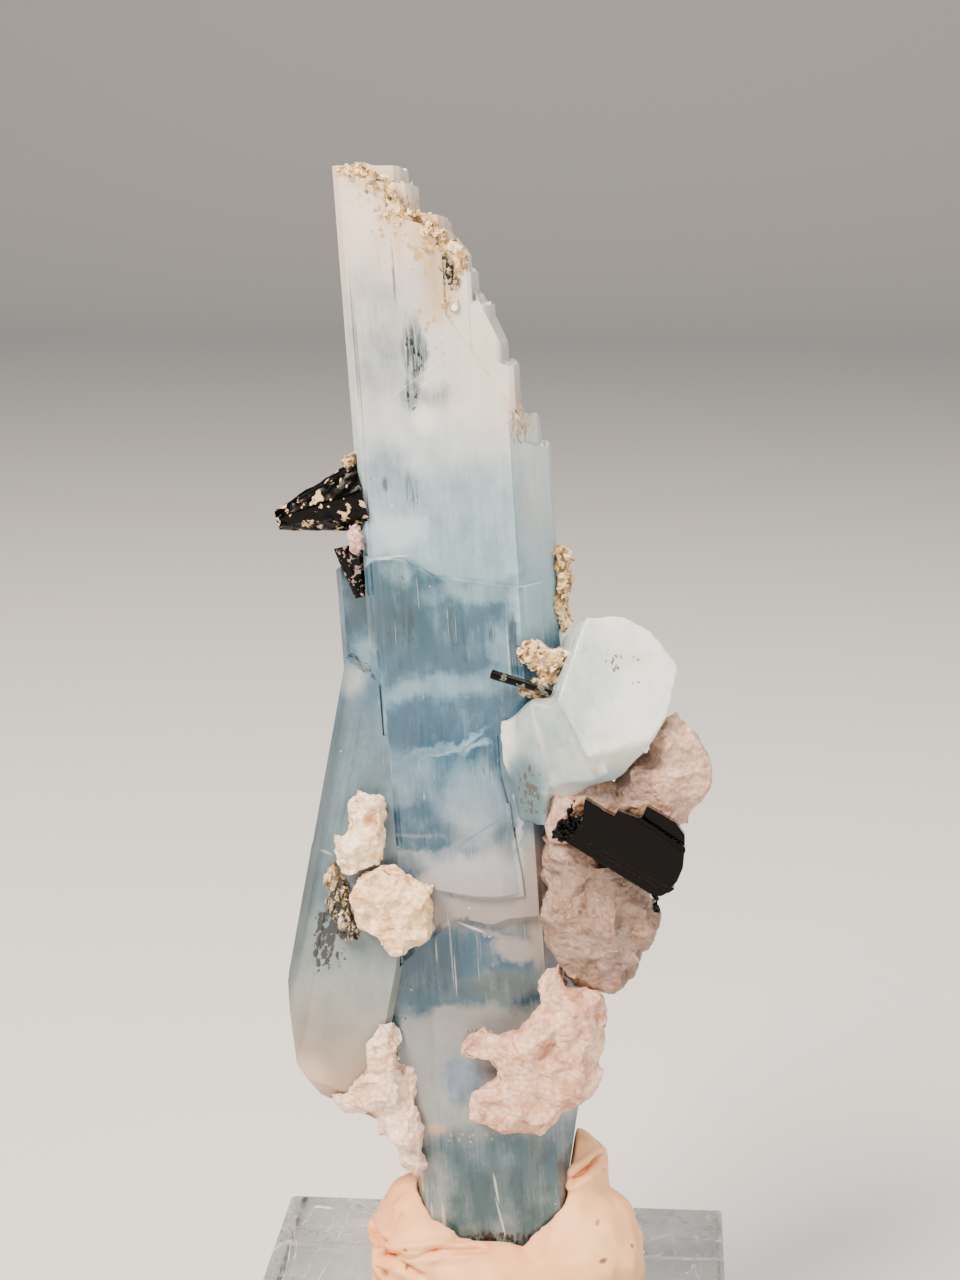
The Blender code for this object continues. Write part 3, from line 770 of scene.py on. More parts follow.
        # The radius of a full-strength speck, as a share of its cell
        room = add_node(tree, "Math", {0: self.patches(recipe, place, marks), 1: 0.42}, operation="MULTIPLY")
        inside = add_node(tree, "Math", {0: room, 1: dots}, operation="SUBTRACT")
        return add_node(tree, "MapRange", {0: inside, 2: 0.06, 4: 0.92})


@dataclass(frozen=True)
class FeldsparFinish:
    """Feldspar: sugary, pinkish white grains with tan stains, matt but for small cleavage glints."""

    name: str
    pale: str
    warm: str
    stained: float
    stain: str = "#A98660"

    def make(self) -> bpy.types.Material:
        """Build the material."""
        recipe = Recipe(self.name)
        tree = recipe.tree
        # Ragged grains of about 0.8 mm, pale and warm parts of 5 mm, and stains over 4 mm
        fine = add_node(
            tree, "TexNoise", {"Vector": recipe.place, "Scale": 1500.0, "Detail": 3.0, "Roughness": 0.7})
        ragged = recipe.stretched(fine.outputs["Color"], (0.6 * MM, 0.6 * MM, 0.6 * MM))
        ragged = add_node(tree, "VectorMath", {0: recipe.place, 1: ragged}, operation="ADD")
        grain = add_node(tree, "TexVoronoi", {"Vector": ragged, "Scale": 1250.0})
        soft = add_node(
            tree, "TexNoise", {"Vector": recipe.place, "Scale": 190.0, "Detail": 6.0, "Roughness": 0.65})
        body = recipe.blend(add_node(tree, "MapRange", {0: soft, 1: 0.38, 2: 0.62}), self.pale, self.warm)
        tone = add_node(tree, "SeparateColor", {0: grain.outputs["Color"]}).outputs[0]
        lighter = add_node(tree, "HueSaturation", {"Color": body, "Value": 1.17, "Saturation": 0.80})
        darker = add_node(tree, "HueSaturation", {"Color": body, "Value": 0.86, "Saturation": 1.12})
        body = recipe.blend(tone, darker, lighter)
        # Pits between the grains are darkened towards the stain colour: painted shade
        pit_shade = add_node(tree, "MapRange", {0: grain, 1: 0.50, 2: 0.85, 4: 0.32})
        body = recipe.blend(pit_shade, body, self.stain)
        cloud = add_node(
            tree, "TexNoise", {"Vector": recipe.place, "Scale": 260.0, "Detail": 6.0, "Roughness": 0.7})
        edge = 0.70 - 0.3 * self.stained
        stains = add_node(tree, "MapRange", {0: cloud, 1: edge, 2: edge + 0.10, 4: 0.65})
        body = recipe.blend(stains, body, self.stain)
        height = add_node(tree, "Math", {0: fine, 1: grain}, operation="SUBTRACT")
        bump = add_node(tree, "Bump", {"Height": height, "Strength": 0.8, "Distance": 0.30 * MM})
        rough = add_node(tree, "MapRange", {0: tone, 3: 0.26, 4: 0.6})
        recipe.set(
            Base_Color=body, Roughness=rough, Normal=bump, IOR=1.53, Subsurface_Weight=0.15,
            Subsurface_Radius=(1.0, 0.8, 0.65), Subsurface_Scale=1.0 * MM)
        return recipe.material


@dataclass(frozen=True)
class MuscoviteFinish:
    """Muscovite: tan to cream mica flakes with a pearly gloss, cracked and dark in some places; the palest
    flakes are painted glints.
    """

    name: str
    growth: Growth
    cracked: tuple[Veil, ...] = ()
    # The palest flake tone, a painted glint
    pale_glint: str = "#FBEFD0"
    cream: str = "#EDD09A"
    tan: str = "#C7A063"
    dull: str = "#745F40"
    cracked_tone: str = "#8E8A70"
    crack: str = "#0B0A09"

    def make(self) -> bpy.types.Material:
        """Build the material."""
        recipe = Recipe(self.name)
        tree = recipe.tree
        place = recipe.local(self.growth)
        # One tone to a flake of about 0.7 mm, and wider gold and pale parts; the palest tone is a painted
        # glint
        flake = add_node(tree, "TexVoronoi", {"Vector": recipe.place, "Scale": 1500.0})
        wide = add_node(tree, "TexNoise", {"Vector": recipe.place, "Scale": 420.0, "Detail": 3.0})
        tone = add_node(tree, "SeparateColor", {0: flake.outputs["Color"]}).outputs[1]
        tone = add_node(tree, "Mix", {0: 0.45, 2: tone, 3: wide}, data_type="FLOAT")
        stops = ((0.26, self.dull), (0.42, self.tan), (0.60, self.cream), (0.82, self.pale_glint))
        colour = add_node(tree, "ValToRGB", {0: tone}, stops=stops)
        fine = add_node(
            tree, "TexNoise", {"Vector": recipe.place, "Scale": 2200.0, "Detail": 3.0, "Roughness": 0.7})
        for veil in self.cracked:
            mask = recipe.patch(place, veil)
            # Splinters about 1 mm wide and 3 mm long, parted by black cracks
            ragged = recipe.stretched(fine.outputs["Color"], (0.8, 0.8, 1.6))
            ragged = add_node(tree, "VectorMath", {0: place, 1: ragged}, operation="ADD")
            inputs = {"Vector": recipe.stretched(ragged, (0.95, 0.95, 0.30)), "Scale": 1.0}
            parts = add_node(tree, "TexVoronoi", inputs, feature="DISTANCE_TO_EDGE")
            crack = add_node(tree, "MapRange", {0: parts, 1: 0.17, 2: 0.10})
            crack = add_node(tree, "Math", {0: crack, 1: mask}, operation="MULTIPLY")
            part = add_node(tree, "Math", {0: mask, 1: 0.6}, operation="MULTIPLY")
            colour = recipe.blend(part, colour, self.cracked_tone)
            colour = recipe.blend(crack, colour, self.crack)
        bump = add_node(tree, "Bump", {"Height": fine, "Strength": 0.4, "Distance": 0.08 * MM})
        rough = add_node(tree, "MapRange", {0: tone, 3: 0.20, 4: 0.5})
        recipe.set(
            Base_Color=colour, Roughness=rough, Normal=bump, IOR=1.58, Coat_Weight=0.25, Coat_Roughness=0.2)
        return recipe.material


@dataclass(frozen=True)
class SchorlFinish:
    """Schorl: black tourmaline, glassy, with fine striations along the prism and tan mica in its pits."""

    name: str
    growth: Growth
    patches: float = 0.0
    patch_colour: str = "#C9B48C"
    # The width of a patch, in millimetres
    patch_size: float = 2.4
    black: str = "#010101"
    brown: str = "#070606"

    def make(self) -> bpy.types.Material:
        """Build the material."""
        recipe = Recipe(self.name)
        tree = recipe.tree
        place = recipe.local(self.growth)
        # Striations 0.25 mm apart
        inputs = {
            "Vector": recipe.stretched(place, (4.0, 4.0, 0.12)), "Scale": 1.0, "Detail": 3.0,
            "Roughness": 0.6}
        height = add_node(tree, "TexNoise", inputs)
        dust = add_node(tree, "TexNoise", {"Vector": place, "Scale": 0.9, "Detail": 5.0, "Roughness": 0.7})
        dusty = add_node(tree, "MapRange", {0: dust, 1: 0.52, 2: 0.78, 4: 0.5})
        colour = recipe.blend(dusty, self.black, self.brown)
        rough = add_node(tree, "MapRange", {0: dust, 1: 0.3, 2: 0.7, 3: 0.16, 4: 0.34})
        if self.patches > 0.0:
            inputs = {"Vector": place, "Scale": 1.0 / self.patch_size, "Detail": 4.0, "Roughness": 0.55}
            wide = add_node(tree, "TexNoise", inputs)
            edge = 0.66 - 0.22 * self.patches
            mask = add_node(tree, "MapRange", {0: wide, 1: edge, 2: edge + 0.02})
            colour = recipe.blend(mask, colour, self.patch_colour)
            rough = add_node(tree, "Mix", {0: mask, 2: rough, 3: 0.55}, data_type="FLOAT")
            height = add_node(tree, "Math", {0: height, 1: mask}, operation="ADD")
        bump = add_node(tree, "Bump", {"Height": height, "Strength": 0.35, "Distance": 0.08 * MM})
        recipe.set(Base_Color=colour, Roughness=rough, Normal=bump, IOR=1.64, Specular_IOR_Level=0.08)
        return recipe.material


@dataclass(frozen=True)
class TackFinish:
    """Mineral tack: soft cream putty, matt, with painted shade in its folds and a few specks of dirt."""

    name: str
    # Painted shade along the folds, and dark specks of dirt
    folds: tuple[Veil, ...] = ()
    light: str = "#FFC58E"
    dark: str = "#F8B27E"
    dirt: str = "#4A3A2C"

    def make(self) -> bpy.types.Material:
        """Build the material."""
        recipe = Recipe(self.name)
        tree = recipe.tree
        soft = add_node(
            tree, "TexNoise", {"Vector": recipe.place, "Scale": 90.0, "Detail": 4.0, "Roughness": 0.5})
        body = recipe.blend(add_node(tree, "MapRange", {0: soft, 1: 0.35, 2: 0.65}), self.light, self.dark)
        place = recipe.local(Growth((0.0, 0.0, 0.0)))
        # Painted shade along the folds, and a few dark specks of dirt, laid over the body
        body = recipe.tinted(body, place, self.folds)
        # Dirt specks up to about 1 mm wide, one every 8 mm or so
        dots = add_node(tree, "TexVoronoi", {"Vector": recipe.place, "Scale": 130.0})
        specks = add_node(tree, "MapRange", {0: dots, 1: 0.085, 2: 0.05, 4: 0.8})
        body = recipe.blend(specks, body, self.dirt)
        fine = add_node(
            tree, "TexNoise", {"Vector": recipe.place, "Scale": 520.0, "Detail": 4.0, "Roughness": 0.6})
        bump = add_node(tree, "Bump", {"Height": fine, "Strength": 0.25, "Distance": 0.2 * MM})
        rough = add_node(tree, "MapRange", {0: soft, 3: 0.48, 4: 0.66})
        recipe.set(
            Base_Color=body, Roughness=rough, Normal=bump, IOR=1.5, Subsurface_Weight=0.04,
            Subsurface_Radius=(1.0, 0.6, 0.4), Subsurface_Scale=1.0 * MM)
        return recipe.material


@dataclass(frozen=True)
class AcrylicFinish:
    """Clear cast acrylic: polished, with handling scratches and a thin haze of dust."""

    name: str
    # The directions of the hair scratches, in degrees, and the gaps between them, in millimetres
    scratches: tuple = ((8.0, 9.0), (58.0, 14.0), (121.0, 11.0))

    def make(self) -> bpy.types.Material:
        """Build the material."""
        recipe = Recipe(self.name)
        tree = recipe.tree
        lines = None
        for turn, gap in self.scratches:
            inputs = {
                "Vector": recipe.place,
                "Rotation": (0.0, 0.0, math.radians(turn)),
                "Scale": (1.0 / (gap * MM), 25.0, 25.0),
            }
            lane = add_node(tree, "Mapping", inputs)
            wave = add_node(tree, "TexNoise", {"Vector": lane, "Scale": 1.0, "Detail": 1.5, "Roughness": 0.4})
            off = add_node(tree, "Math", {0: wave, 1: 0.5}, operation="SUBTRACT")
            off = add_node(tree, "Math", {0: off}, operation="ABSOLUTE")
            line = add_node(tree, "MapRange", {0: off, 1: 0.006, 2: 0.002})
            lines = recipe.joined(lines, line, "MAXIMUM")
        broken = add_node(
            tree, "TexNoise", {"Vector": recipe.place, "Scale": 160.0, "Detail": 4.0, "Roughness": 0.7})
        gate = add_node(tree, "MapRange", {0: broken, 1: 0.48, 2: 0.58})
        marks = add_node(tree, "Math", {0: lines, 1: gate}, operation="MULTIPLY")
        haze = add_node(tree, "MapRange", {0: broken, 1: 0.4, 2: 0.75, 3: 0.02, 4: 0.16})
        veil = add_node(tree, "Math", {0: marks, 1: haze}, operation="MAXIMUM")
        clear = add_node(tree, "MapRange", {0: veil, 3: 1.0, 4: 0.35})
        rough = add_node(tree, "MapRange", {0: veil, 3: 0.03, 4: 0.4})
        bump = add_node(tree, "Bump", {"Height": marks, "Strength": 0.3, "Distance": 0.05 * MM})
        recipe.set(
            Base_Color=linear("#F2F4F5"), Roughness=rough, Transmission_Weight=clear, IOR=1.49, Normal=bump)
        return recipe.material


# ---------------------------------------------------------------------------------------------------------
# Marks inside the crystals: rows of a veil's values, in each crystal's own millimetres

# Milkier and clearer patches of the main crystal
MAIN_VEILS = veils(
    # the milky cap: its windows, tuft and blue patches
    (-7.6, 146.1, 4.4, 11.0, 0.56, 0.7), (-6.0, 128.5, 8.82, 10.29, 0.86, 0.6),
    (3.6, 120.3, 9.70, 7.5, 0.64, 0.6), (14.0, 116.3, 3.2, 8.0, 0.95, 0.5),
    (-6.6, 119.6, 3.82, 2.94, 0.97, 0.5), (-8.2, 127.6, 3.4, 4.6, 0.56, 0.6),
    (-4.5, 125.1, 1.32, 2.94, 0.62, 0.5), (-2.7, 145.8, 1.6, 4.1, 0.46, 0.25),
    (-3.4, 139.6, 1.32, 2.50, 0.45, 0.5), (0.4, 139.3, 2.65, 1.18, 0.66, 0.6),
    (-1.9, 135.7, 1.62, 1.62, 1.0, 0.5), (-6.5, 113.5, 2.94, 1.32, 0.35, 0.6),
    # bands and wisps of the teal zone, and milk painted as light over shadow lines at the left edge and at
    # the plates' right edge
    # the second row here is milk painted as light over the shadow line at the crystal's left edge
    (-6.6, 105.2, 5.00, 6.17, 0.0, 0.4), (-14.0, 98.6, 2.4, 3.6, 0.9, 0.5),
    (7.6, 109.9, 10.58, 1.76, 0.5, 0.5), (13.0, 106.6, 4.0, 5.6, 0.95, 0.5),
    (7.0, 101.2, 1.76, 3.82, 0.5, 0.5), (9.2, 100.3, 0.59, 5.59, 0.05, 0.3),
    (-3.5, 95.6, 9.70, 1.76, 0.62, 0.55, -8), (-4.1, 90.7, 10.00, 3.53, 0.03, 0.35),
    (-7.4, 82.7, 6.76, 3.53, 0.52, 0.7), (3.5, 84.2, 2.21, 2.94, 0.12, 0.5),
    (2.3, 78.8, 4.41, 6.17, 0.72, 0.35), (-7.3, 76.0, 3.82, 2.65, 0.05, 0.3),
    (-0.2, 87.0, 4.41, 0.44, 0.95, 0.5, -22), (2.5, 86.7, 1.91, 0.59, 1.0, 0.5, -8),
    (-4.7, 86.1, 4.70, 0.44, 0.6, 0.6, -12), (-6.9, 72.2, 4.70, 1.32, 0.12, 0.4),
    (0.5, 70.3, 2.06, 1.03, 0.35, 0.5), (0.2, 66.2, 9.11, 3.23, 0.97, 0.35),
    # the first row here is milk painted as light over the shadow line at the plates' right edge
    (7.9, 73.0, 0.5, 9.5, 1.0, 0.5, 4), (-9.1, 68.2, 2.94, 1.91, 0.42, 0.6),
    # milk painted as light over the shadow line at the crystal's left edge
    (-12.3, 90.0, 1.3, 12.0, 0.8, 0.6),
    # the pale roof, and the deep teal under it
    (1.0, 60.5, 7.94, 2.21, 0.93, 0.25), (-5.8, 51.7, 9.70, 6.47, 0.02, 0.14),
    (5.9, 54.1, 3.6, 2.4, 1.0, 0.35), (2.9, 57.1, 3.53, 0.73, 0.85, 0.5, 22),
    (-1.0, 59.0, 2.35, 0.59, 0.05, 0.5, 15), (5.1, 48.5, 7.35, 2.50, 0.1, 0.2),
    (-2.3, 42.0, 8.53, 3.23, 0.93, 0.3), (-9.6, 32.7, 3.53, 9.11, 0.84, 0.3),
    (5.9, 37.9, 8.82, 5.88, 0.9, 0.4), (-3.3, 33.3, 2.94, 3.53, 0.28, 0.45),
    (-13.4, 46.8, 1.32, 7.64, 0.22, 0.3), (10.5, 61.9, 2.35, 10.29, 0.8, 0.3),
    # the clear foot
    (2.1, 14.9, 9.70, 7.94, 0.1, 0.22), (-9.2, 14.4, 3.4, 7.6, 0.72, 0.4), (1.8, 9.0, 1.76, 3.82, 0.35, 0.6),
)
# Its tinted patches and thin lines
MAIN_STAINS = veils(
    # cream and lilac of the cap, and its grey and tan rims
    (7.0, 142.1, 5.29, 9.11, 0.6, 0.6, 0, "#E8DACD"), (-0.2, 156.4, 2.50, 6.76, 0.5, 0.5, 0, "#C9C3CA"),
    (13.4, 128.5, 2.6, 7.5, 0.5, 0.6, 0, "#E9ECEA"), (-7.6, 105.4, 5.0, 5.6, 0.65, 0.5, 0, "#356276"),
    (13.2, 119.3, 2.21, 5.00, 0.4, 0.6, 0, "#C3C3B6"), (-3.8, 161.6, 0.73, 3.23, 0.6, 0.6, 0, "#E0C49C"),
    (-1.9, 135.7, 1.76, 1.76, 0.6, 0.6, 0, "#F4EDE4"),
    # tan films beside the mica
    (-7.2, 170.2, 3.82, 1.18, 0.6, 0.6, 0, "#DEC59E"), (-4.9, 166.9, 1.62, 2.94, 0.5, 0.6, 0, "#D8B98C"),
    (-0.8, 163.4, 3.6, 2.6, 0.6, 0.6, 0, "#DDC090"), (1.5, 157.4, 2.3, 5.6, 0.75, 0.6, 0, "#C9B284"),
    (0.9, 151.4, 2.06, 2.35, 0.5, 0.6, 0, "#D8B98C"), (12.6, 136.5, 2.2, 3.2, 0.7, 0.7, 0, "#D8BC93"),
    # dark growth lines
    (-11.3, 147.8, 0.13, 9.11, 0.7, 0.4, 0, "#6E7B7E"), (-10.9, 143.1, 0.13, 10.29, 0.6, 0.4, 0, "#6E7B7E"),
    (1.8, 73.4, 4.12, 0.24, 0.6, 0.5, -30, "#5F7F8C"),
    # the roof, the deep patch, the blue window, and tan stains low down
    (1.0, 60.5, 7.94, 2.21, 0.6, 0.3, 0, "#938983"), (5.1, 48.5, 7.35, 2.50, 0.5, 0.3, 0, "#75847F"),
    (-3.3, 33.3, 3.0, 3.4, 0.75, 0.5, 0, "#8FA6C4"), (-12.3, 46.7, 0.16, 7.06, 0.6, 0.4, 0, "#4F6C75"),
    (10.1, 61.1, 2.35, 10.58, 0.75, 0.35, 0, "#948679"), (-7.9, 25.1, 1.6, 0.9, 0.5, 0.8, 0, "#D3B084"),
    (-15.0, 107.0, 1.9, 5.0, 0.75, 0.5, 0, "#35606F"), (-10.8, 16.1, 0.19, 1.91, 0.7, 0.5, 0, "#E3D2B8"),
    (-9.6, 10.5, 0.24, 2.21, 0.7, 0.5, 0, "#E3D2B8"), (-7.8, 9.8, 0.26, 2.50, 0.7, 0.5, 0, "#E8DCC6"),
    # white cracks and scratches, and a painted highlight along the upper edge of the front layers
    (-2.4, 141.8, 0.13, 4.26, 0.8, 0.5, 58, "#F2F3F0"), (-1.6, 140.8, 0.10, 2.94, 0.6, 0.5, 60, "#F2F3F0"),
    (-0.4, 105.5, 0.10, 2.4, 0.5, 0.4, 0, "#E2EAEC"), (0.7, 104.5, 0.08, 2.4, 0.4, 0.4, 0, "#E2EAEC"),
    # the second here is a painted highlight along the upper edge of the front layers
    (8.2, 100.1, 0.12, 5.2, 0.5, 0.5, 0, "#E6EDEE"), (-8.1, 115.7, 2.35, 0.15, 0.95, 0.3, -1, "#F2F3F0"),
    (-7.7, 73.4, 4.12, 0.3, 0.22, 0.8, 0, "#C9D8DF"), (-5.9, 54.2, 0.12, 1.76, 0.7, 0.4, 0, "#F2F3F0"),
    (-3.6, 54.2, 0.12, 5.59, 0.6, 0.4, 0, "#F2F3F0"), (-3.2, 50.4, 0.10, 3.23, 0.7, 0.4, 0, "#F2F3F0"),
    (-0.4, 57.9, 1.91, 0.21, 0.8, 0.5, 25, "#F2F3F0"), (0.8, 15.3, 0.18, 2.35, 0.9, 0.4, -6, "#F2F3F0"),
    (1.2, 10.2, 0.15, 3.23, 0.8, 0.4, -10, "#F2F3F0"),
)
# Its dark hollow tubes
MAIN_TUBES = veils(
    (-2.7, 145.5, 1.76, 3.82, 1.0, 0.25), (-3.6, 139.6, 1.32, 2.50, 0.7, 0.4),
    (-0.5, 139.0, 2.35, 1.03, 0.4, 0.5), (-4.9, 157.4, 0.24, 4.41, 0.8, 0.4),
    (-8.2, 126.5, 0.59, 1.03, 0.9, 0.5), (-4.6, 125.3, 0.88, 2.94, 0.7, 0.5),
    (-8.5, 109.0, 2.06, 5.88, 0.55, 0.6), (0.3, 104.8, 0.73, 3.82, 1.0, 0.4),
    (-6.3, 106.0, 0.88, 2.65, 1.0, 0.4), (5.9, 104.2, 0.59, 2.06, 0.9, 0.4),
    (9.0, 100.3, 0.59, 5.88, 1.0, 0.3), (2.5, 100.6, 1.18, 2.06, 0.5, 0.5), (3.5, 84.2, 2.06, 2.94, 0.6, 0.5),
    (-7.2, 89.9, 5.29, 2.35, 0.35, 0.6), (-9.8, 51.8, 3.82, 4.41, 0.7, 0.5),
    (-3.6, 51.6, 3.23, 4.41, 0.55, 0.5), (-13.3, 45.1, 0.73, 7.35, 0.8, 0.4),
    (2.9, 48.6, 3.82, 1.76, 0.5, 0.5), (-9.3, 15.2, 0.88, 3.53, 0.5, 0.5),
    (-3.2, 16.7, 4.41, 5.88, 0.25, 0.6),
)
# Its tan flecks
MAIN_FLECKS = veils(
    (-5.7, 163.9, 2.35, 5.88, 0.85, 0.6), (-2.7, 165.5, 3.53, 2.06, 1.1, 0.6),
    (-7.9, 168.9, 2.35, 2.06, 0.8, 0.6), (-0.3, 150.3, 2.35, 2.65, 0.9, 0.6),
    (2.5, 152.7, 1.47, 3.82, 0.8, 0.6), (2.0, 146.1, 1.76, 1.18, 0.7, 0.6), (-0.4, 159.8, 2.6, 4.2, 1.1, 0.6),
    (11.9, 133.4, 2.35, 3.82, 0.8, 0.6), (-8.6, 24.7, 2.35, 2.06, 0.8, 0.6),
    (-3.3, 23.9, 5.88, 1.18, 0.6, 0.6), (-10.5, 15.3, 0.73, 2.35, 0.7, 0.5),
    (-8.2, 9.8, 1.18, 2.65, 0.8, 0.5),
)
# Its dark grains
MAIN_GRAINS = veils(
    (-2.7, 145.5, 1.32, 3.53, 1.0, 0.3), (-3.4, 139.6, 1.18, 2.35, 0.9, 0.4),
    (-7.9, 126.5, 0.59, 0.88, 0.9, 0.5), (-4.5, 125.1, 1.03, 2.94, 0.6, 0.5),
    (-10.5, 127.2, 0.88, 3.82, 0.5, 0.6), (-6.5, 113.3, 3.23, 1.18, 0.5, 0.6),
    (-7.7, 105.4, 5.00, 5.29, 0.42, 0.6), (0.2, 104.5, 0.88, 3.53, 0.7, 0.5),
    (-11.6, 44.1, 1.32, 1.76, 0.75, 0.5), (-0.7, 40.8, 1.47, 1.18, 0.7, 0.5),
    (-13.0, 37.0, 0.73, 5.88, 0.5, 0.5), (0.8, 6.6, 5.6, 1.5, 1.3, 0.4),
)
SIDE_VEILS = veils(
    (-9.0, 64.3, 3.8, 8.8, 0.40, 0.5), (-10.1, 46.5, 2.1, 8.8, 0.5, 0.5), (-9.7, 30.3, 0.6, 17.6, 0.05, 0.3),
    (-2.8, 15.1, 5.0, 5.9, 0.8, 0.5), (-0.6, 2.1, 5.9, 4.4, 0.98, 0.4),
)
SIDE_STAINS = veils(
    (-7.4, 40.1, 1.18, 0.18, 0.9, 0.4, 12, "#F0F0EC"), (-3.8, 3.7, 3.23, 3.53, 0.6, 0.6, 0, "#D9C0AE"),
    (-9.0, 36.0, 1.3, 26.0, 0.85, 0.45, 1, "#34505A"), (-1.0, 50.0, 9.0, 16.0, 0.4, 0.5, 3, "#7C98A6"),
    # a painted highlight on the tip's facets, over the shade where it meets the main crystal
    (-7.6, 67.5, 1.6, 2.6, 0.55, 0.7, 20, "#DDE3E8"),
)
SIDE_GRAINS = veils(
    (-4.8, 27.0, 2.0, 5.6, 1.6, 0.4), (-3.6, 24.0, 2.6, 2.4, 1.2, 0.5), (-6.0, 29.0, 1.4, 4.0, 0.8, 0.5),
)
# The stub's own marks: its clearer root, its films and cracks, and its grains
STUB_VEILS = veils(
    (-15.0, 0.5, 2.6, 5.5, 0.55, 0.5), (-14.0, -15.5, 3.4, 7.0, 0.10, 0.3),
    (-11.0, -5.0, 5.0, 9.0, 0.36, 0.6), (-6.0, 4.0, 5.0, 7.0, 0.62, 0.7),
)
STUB_STAINS = veils(
    (-1.2, 4.9, 1.9, 1.2, 0.5, 0.8, 0, "#D9CDB6"), (2.5, 4.9, 1.7, 0.8, 0.55, 0.8, 0, "#D2C6B0"),
    (-2.2, -5.0, 1.4, 0.8, 0.5, 0.8, 0, "#D6CFB8"), (-7.4, 0.5, 3.4, 7.0, 0.5, 0.6, 20, "#C0D8DC"),
    (-9.6, -9.5, 4.0, 2.2, 0.4, 0.7, 25, "#BFD3E4"), (0.5, -6.9, 7.0, 0.3, 0.6, 0.6, -4, "#FAFBF4"),
    (-0.5, -9.0, 8.0, 1.8, 0.5, 0.6, 0, "#D8DCC8"), (-2.5, -11.8, 6.0, 1.4, 0.65, 0.5, 3, "#C3D6E4"),
    (-10.0, -15.2, 5.2, 0.35, 0.9, 0.5, 12, "#FBFBF6"), (-16.2, -3.5, 0.8, 4.4, 0.8, 0.6, 4, "#F6F0E4"),
    (-15.2, -2.5, 0.25, 4.4, 0.6, 0.6, 3, "#9DBCC6"), (-13.4, -3.5, 0.35, 5.0, 0.5, 0.7, -8, "#A5C1CB"),
    (-14.2, 0.4, 0.3, 2.6, 0.6, 0.6, 6, "#F6F8F4"), (-12.0, -5.5, 0.35, 3.6, 0.5, 0.7, -16, "#F8FAF8"),
    (-14.0, -15.8, 3.0, 6.2, 1.0, 0.35, 0, "#618B98"),
)
STUB_GRAINS = veils(
    (-13.4, -15.0, 2.0, 4.4, 1.2, 0.5), (-1.2, 4.6, 1.4, 1.4, 0.9, 0.6), (2.6, 4.9, 1.8, 0.9, 0.9, 0.6),
    (-2.2, -4.9, 1.0, 0.7, 0.8, 0.6), (2.0, 1.6, 1.0, 0.5, 0.6, 0.6),
)
# Painted shade along the folds of the tack, and dark specks of dirt, across and up
TACK_FOLD_SHADE_AND_SPECKS = veils(
    (-11.2, 40.4, 4.3, 0.22, 0.75, 0.6, -13, "#A97E60"), (-4.2, 41.3, 4.0, 0.20, 0.6, 0.7, 0, "#A97E60"),
    (-16.2, 40.9, 1.3, 0.25, 0.7, 0.6, -8, "#A97E60"), (-15.3, 40.1, 0.25, 0.9, 0.7, 0.6, 0, "#A97E60"),
    (-12.3, 38.6, 2.8, 0.18, 0.5, 0.7, 20, "#B48A6C"), (15.6, 52.2, 2.9, 0.28, 0.8, 0.6, -25, "#9B7255"),
    (18.6, 40.6, 0.6, 0.35, 0.9, 0.5, 0, "#5B4635"), (17.6, 45.4, 0.35, 0.3, 0.7, 0.5, 0, "#6B5442"),
    (-12.1, 41.1, 0.3, 0.3, 0.8, 0.5, 0, "#5B4635"), (-11.9, 38.2, 0.3, 0.3, 0.8, 0.5, 0, "#5B4635"),
)


# ---------------------------------------------------------------------------------------------------------
# Pieces


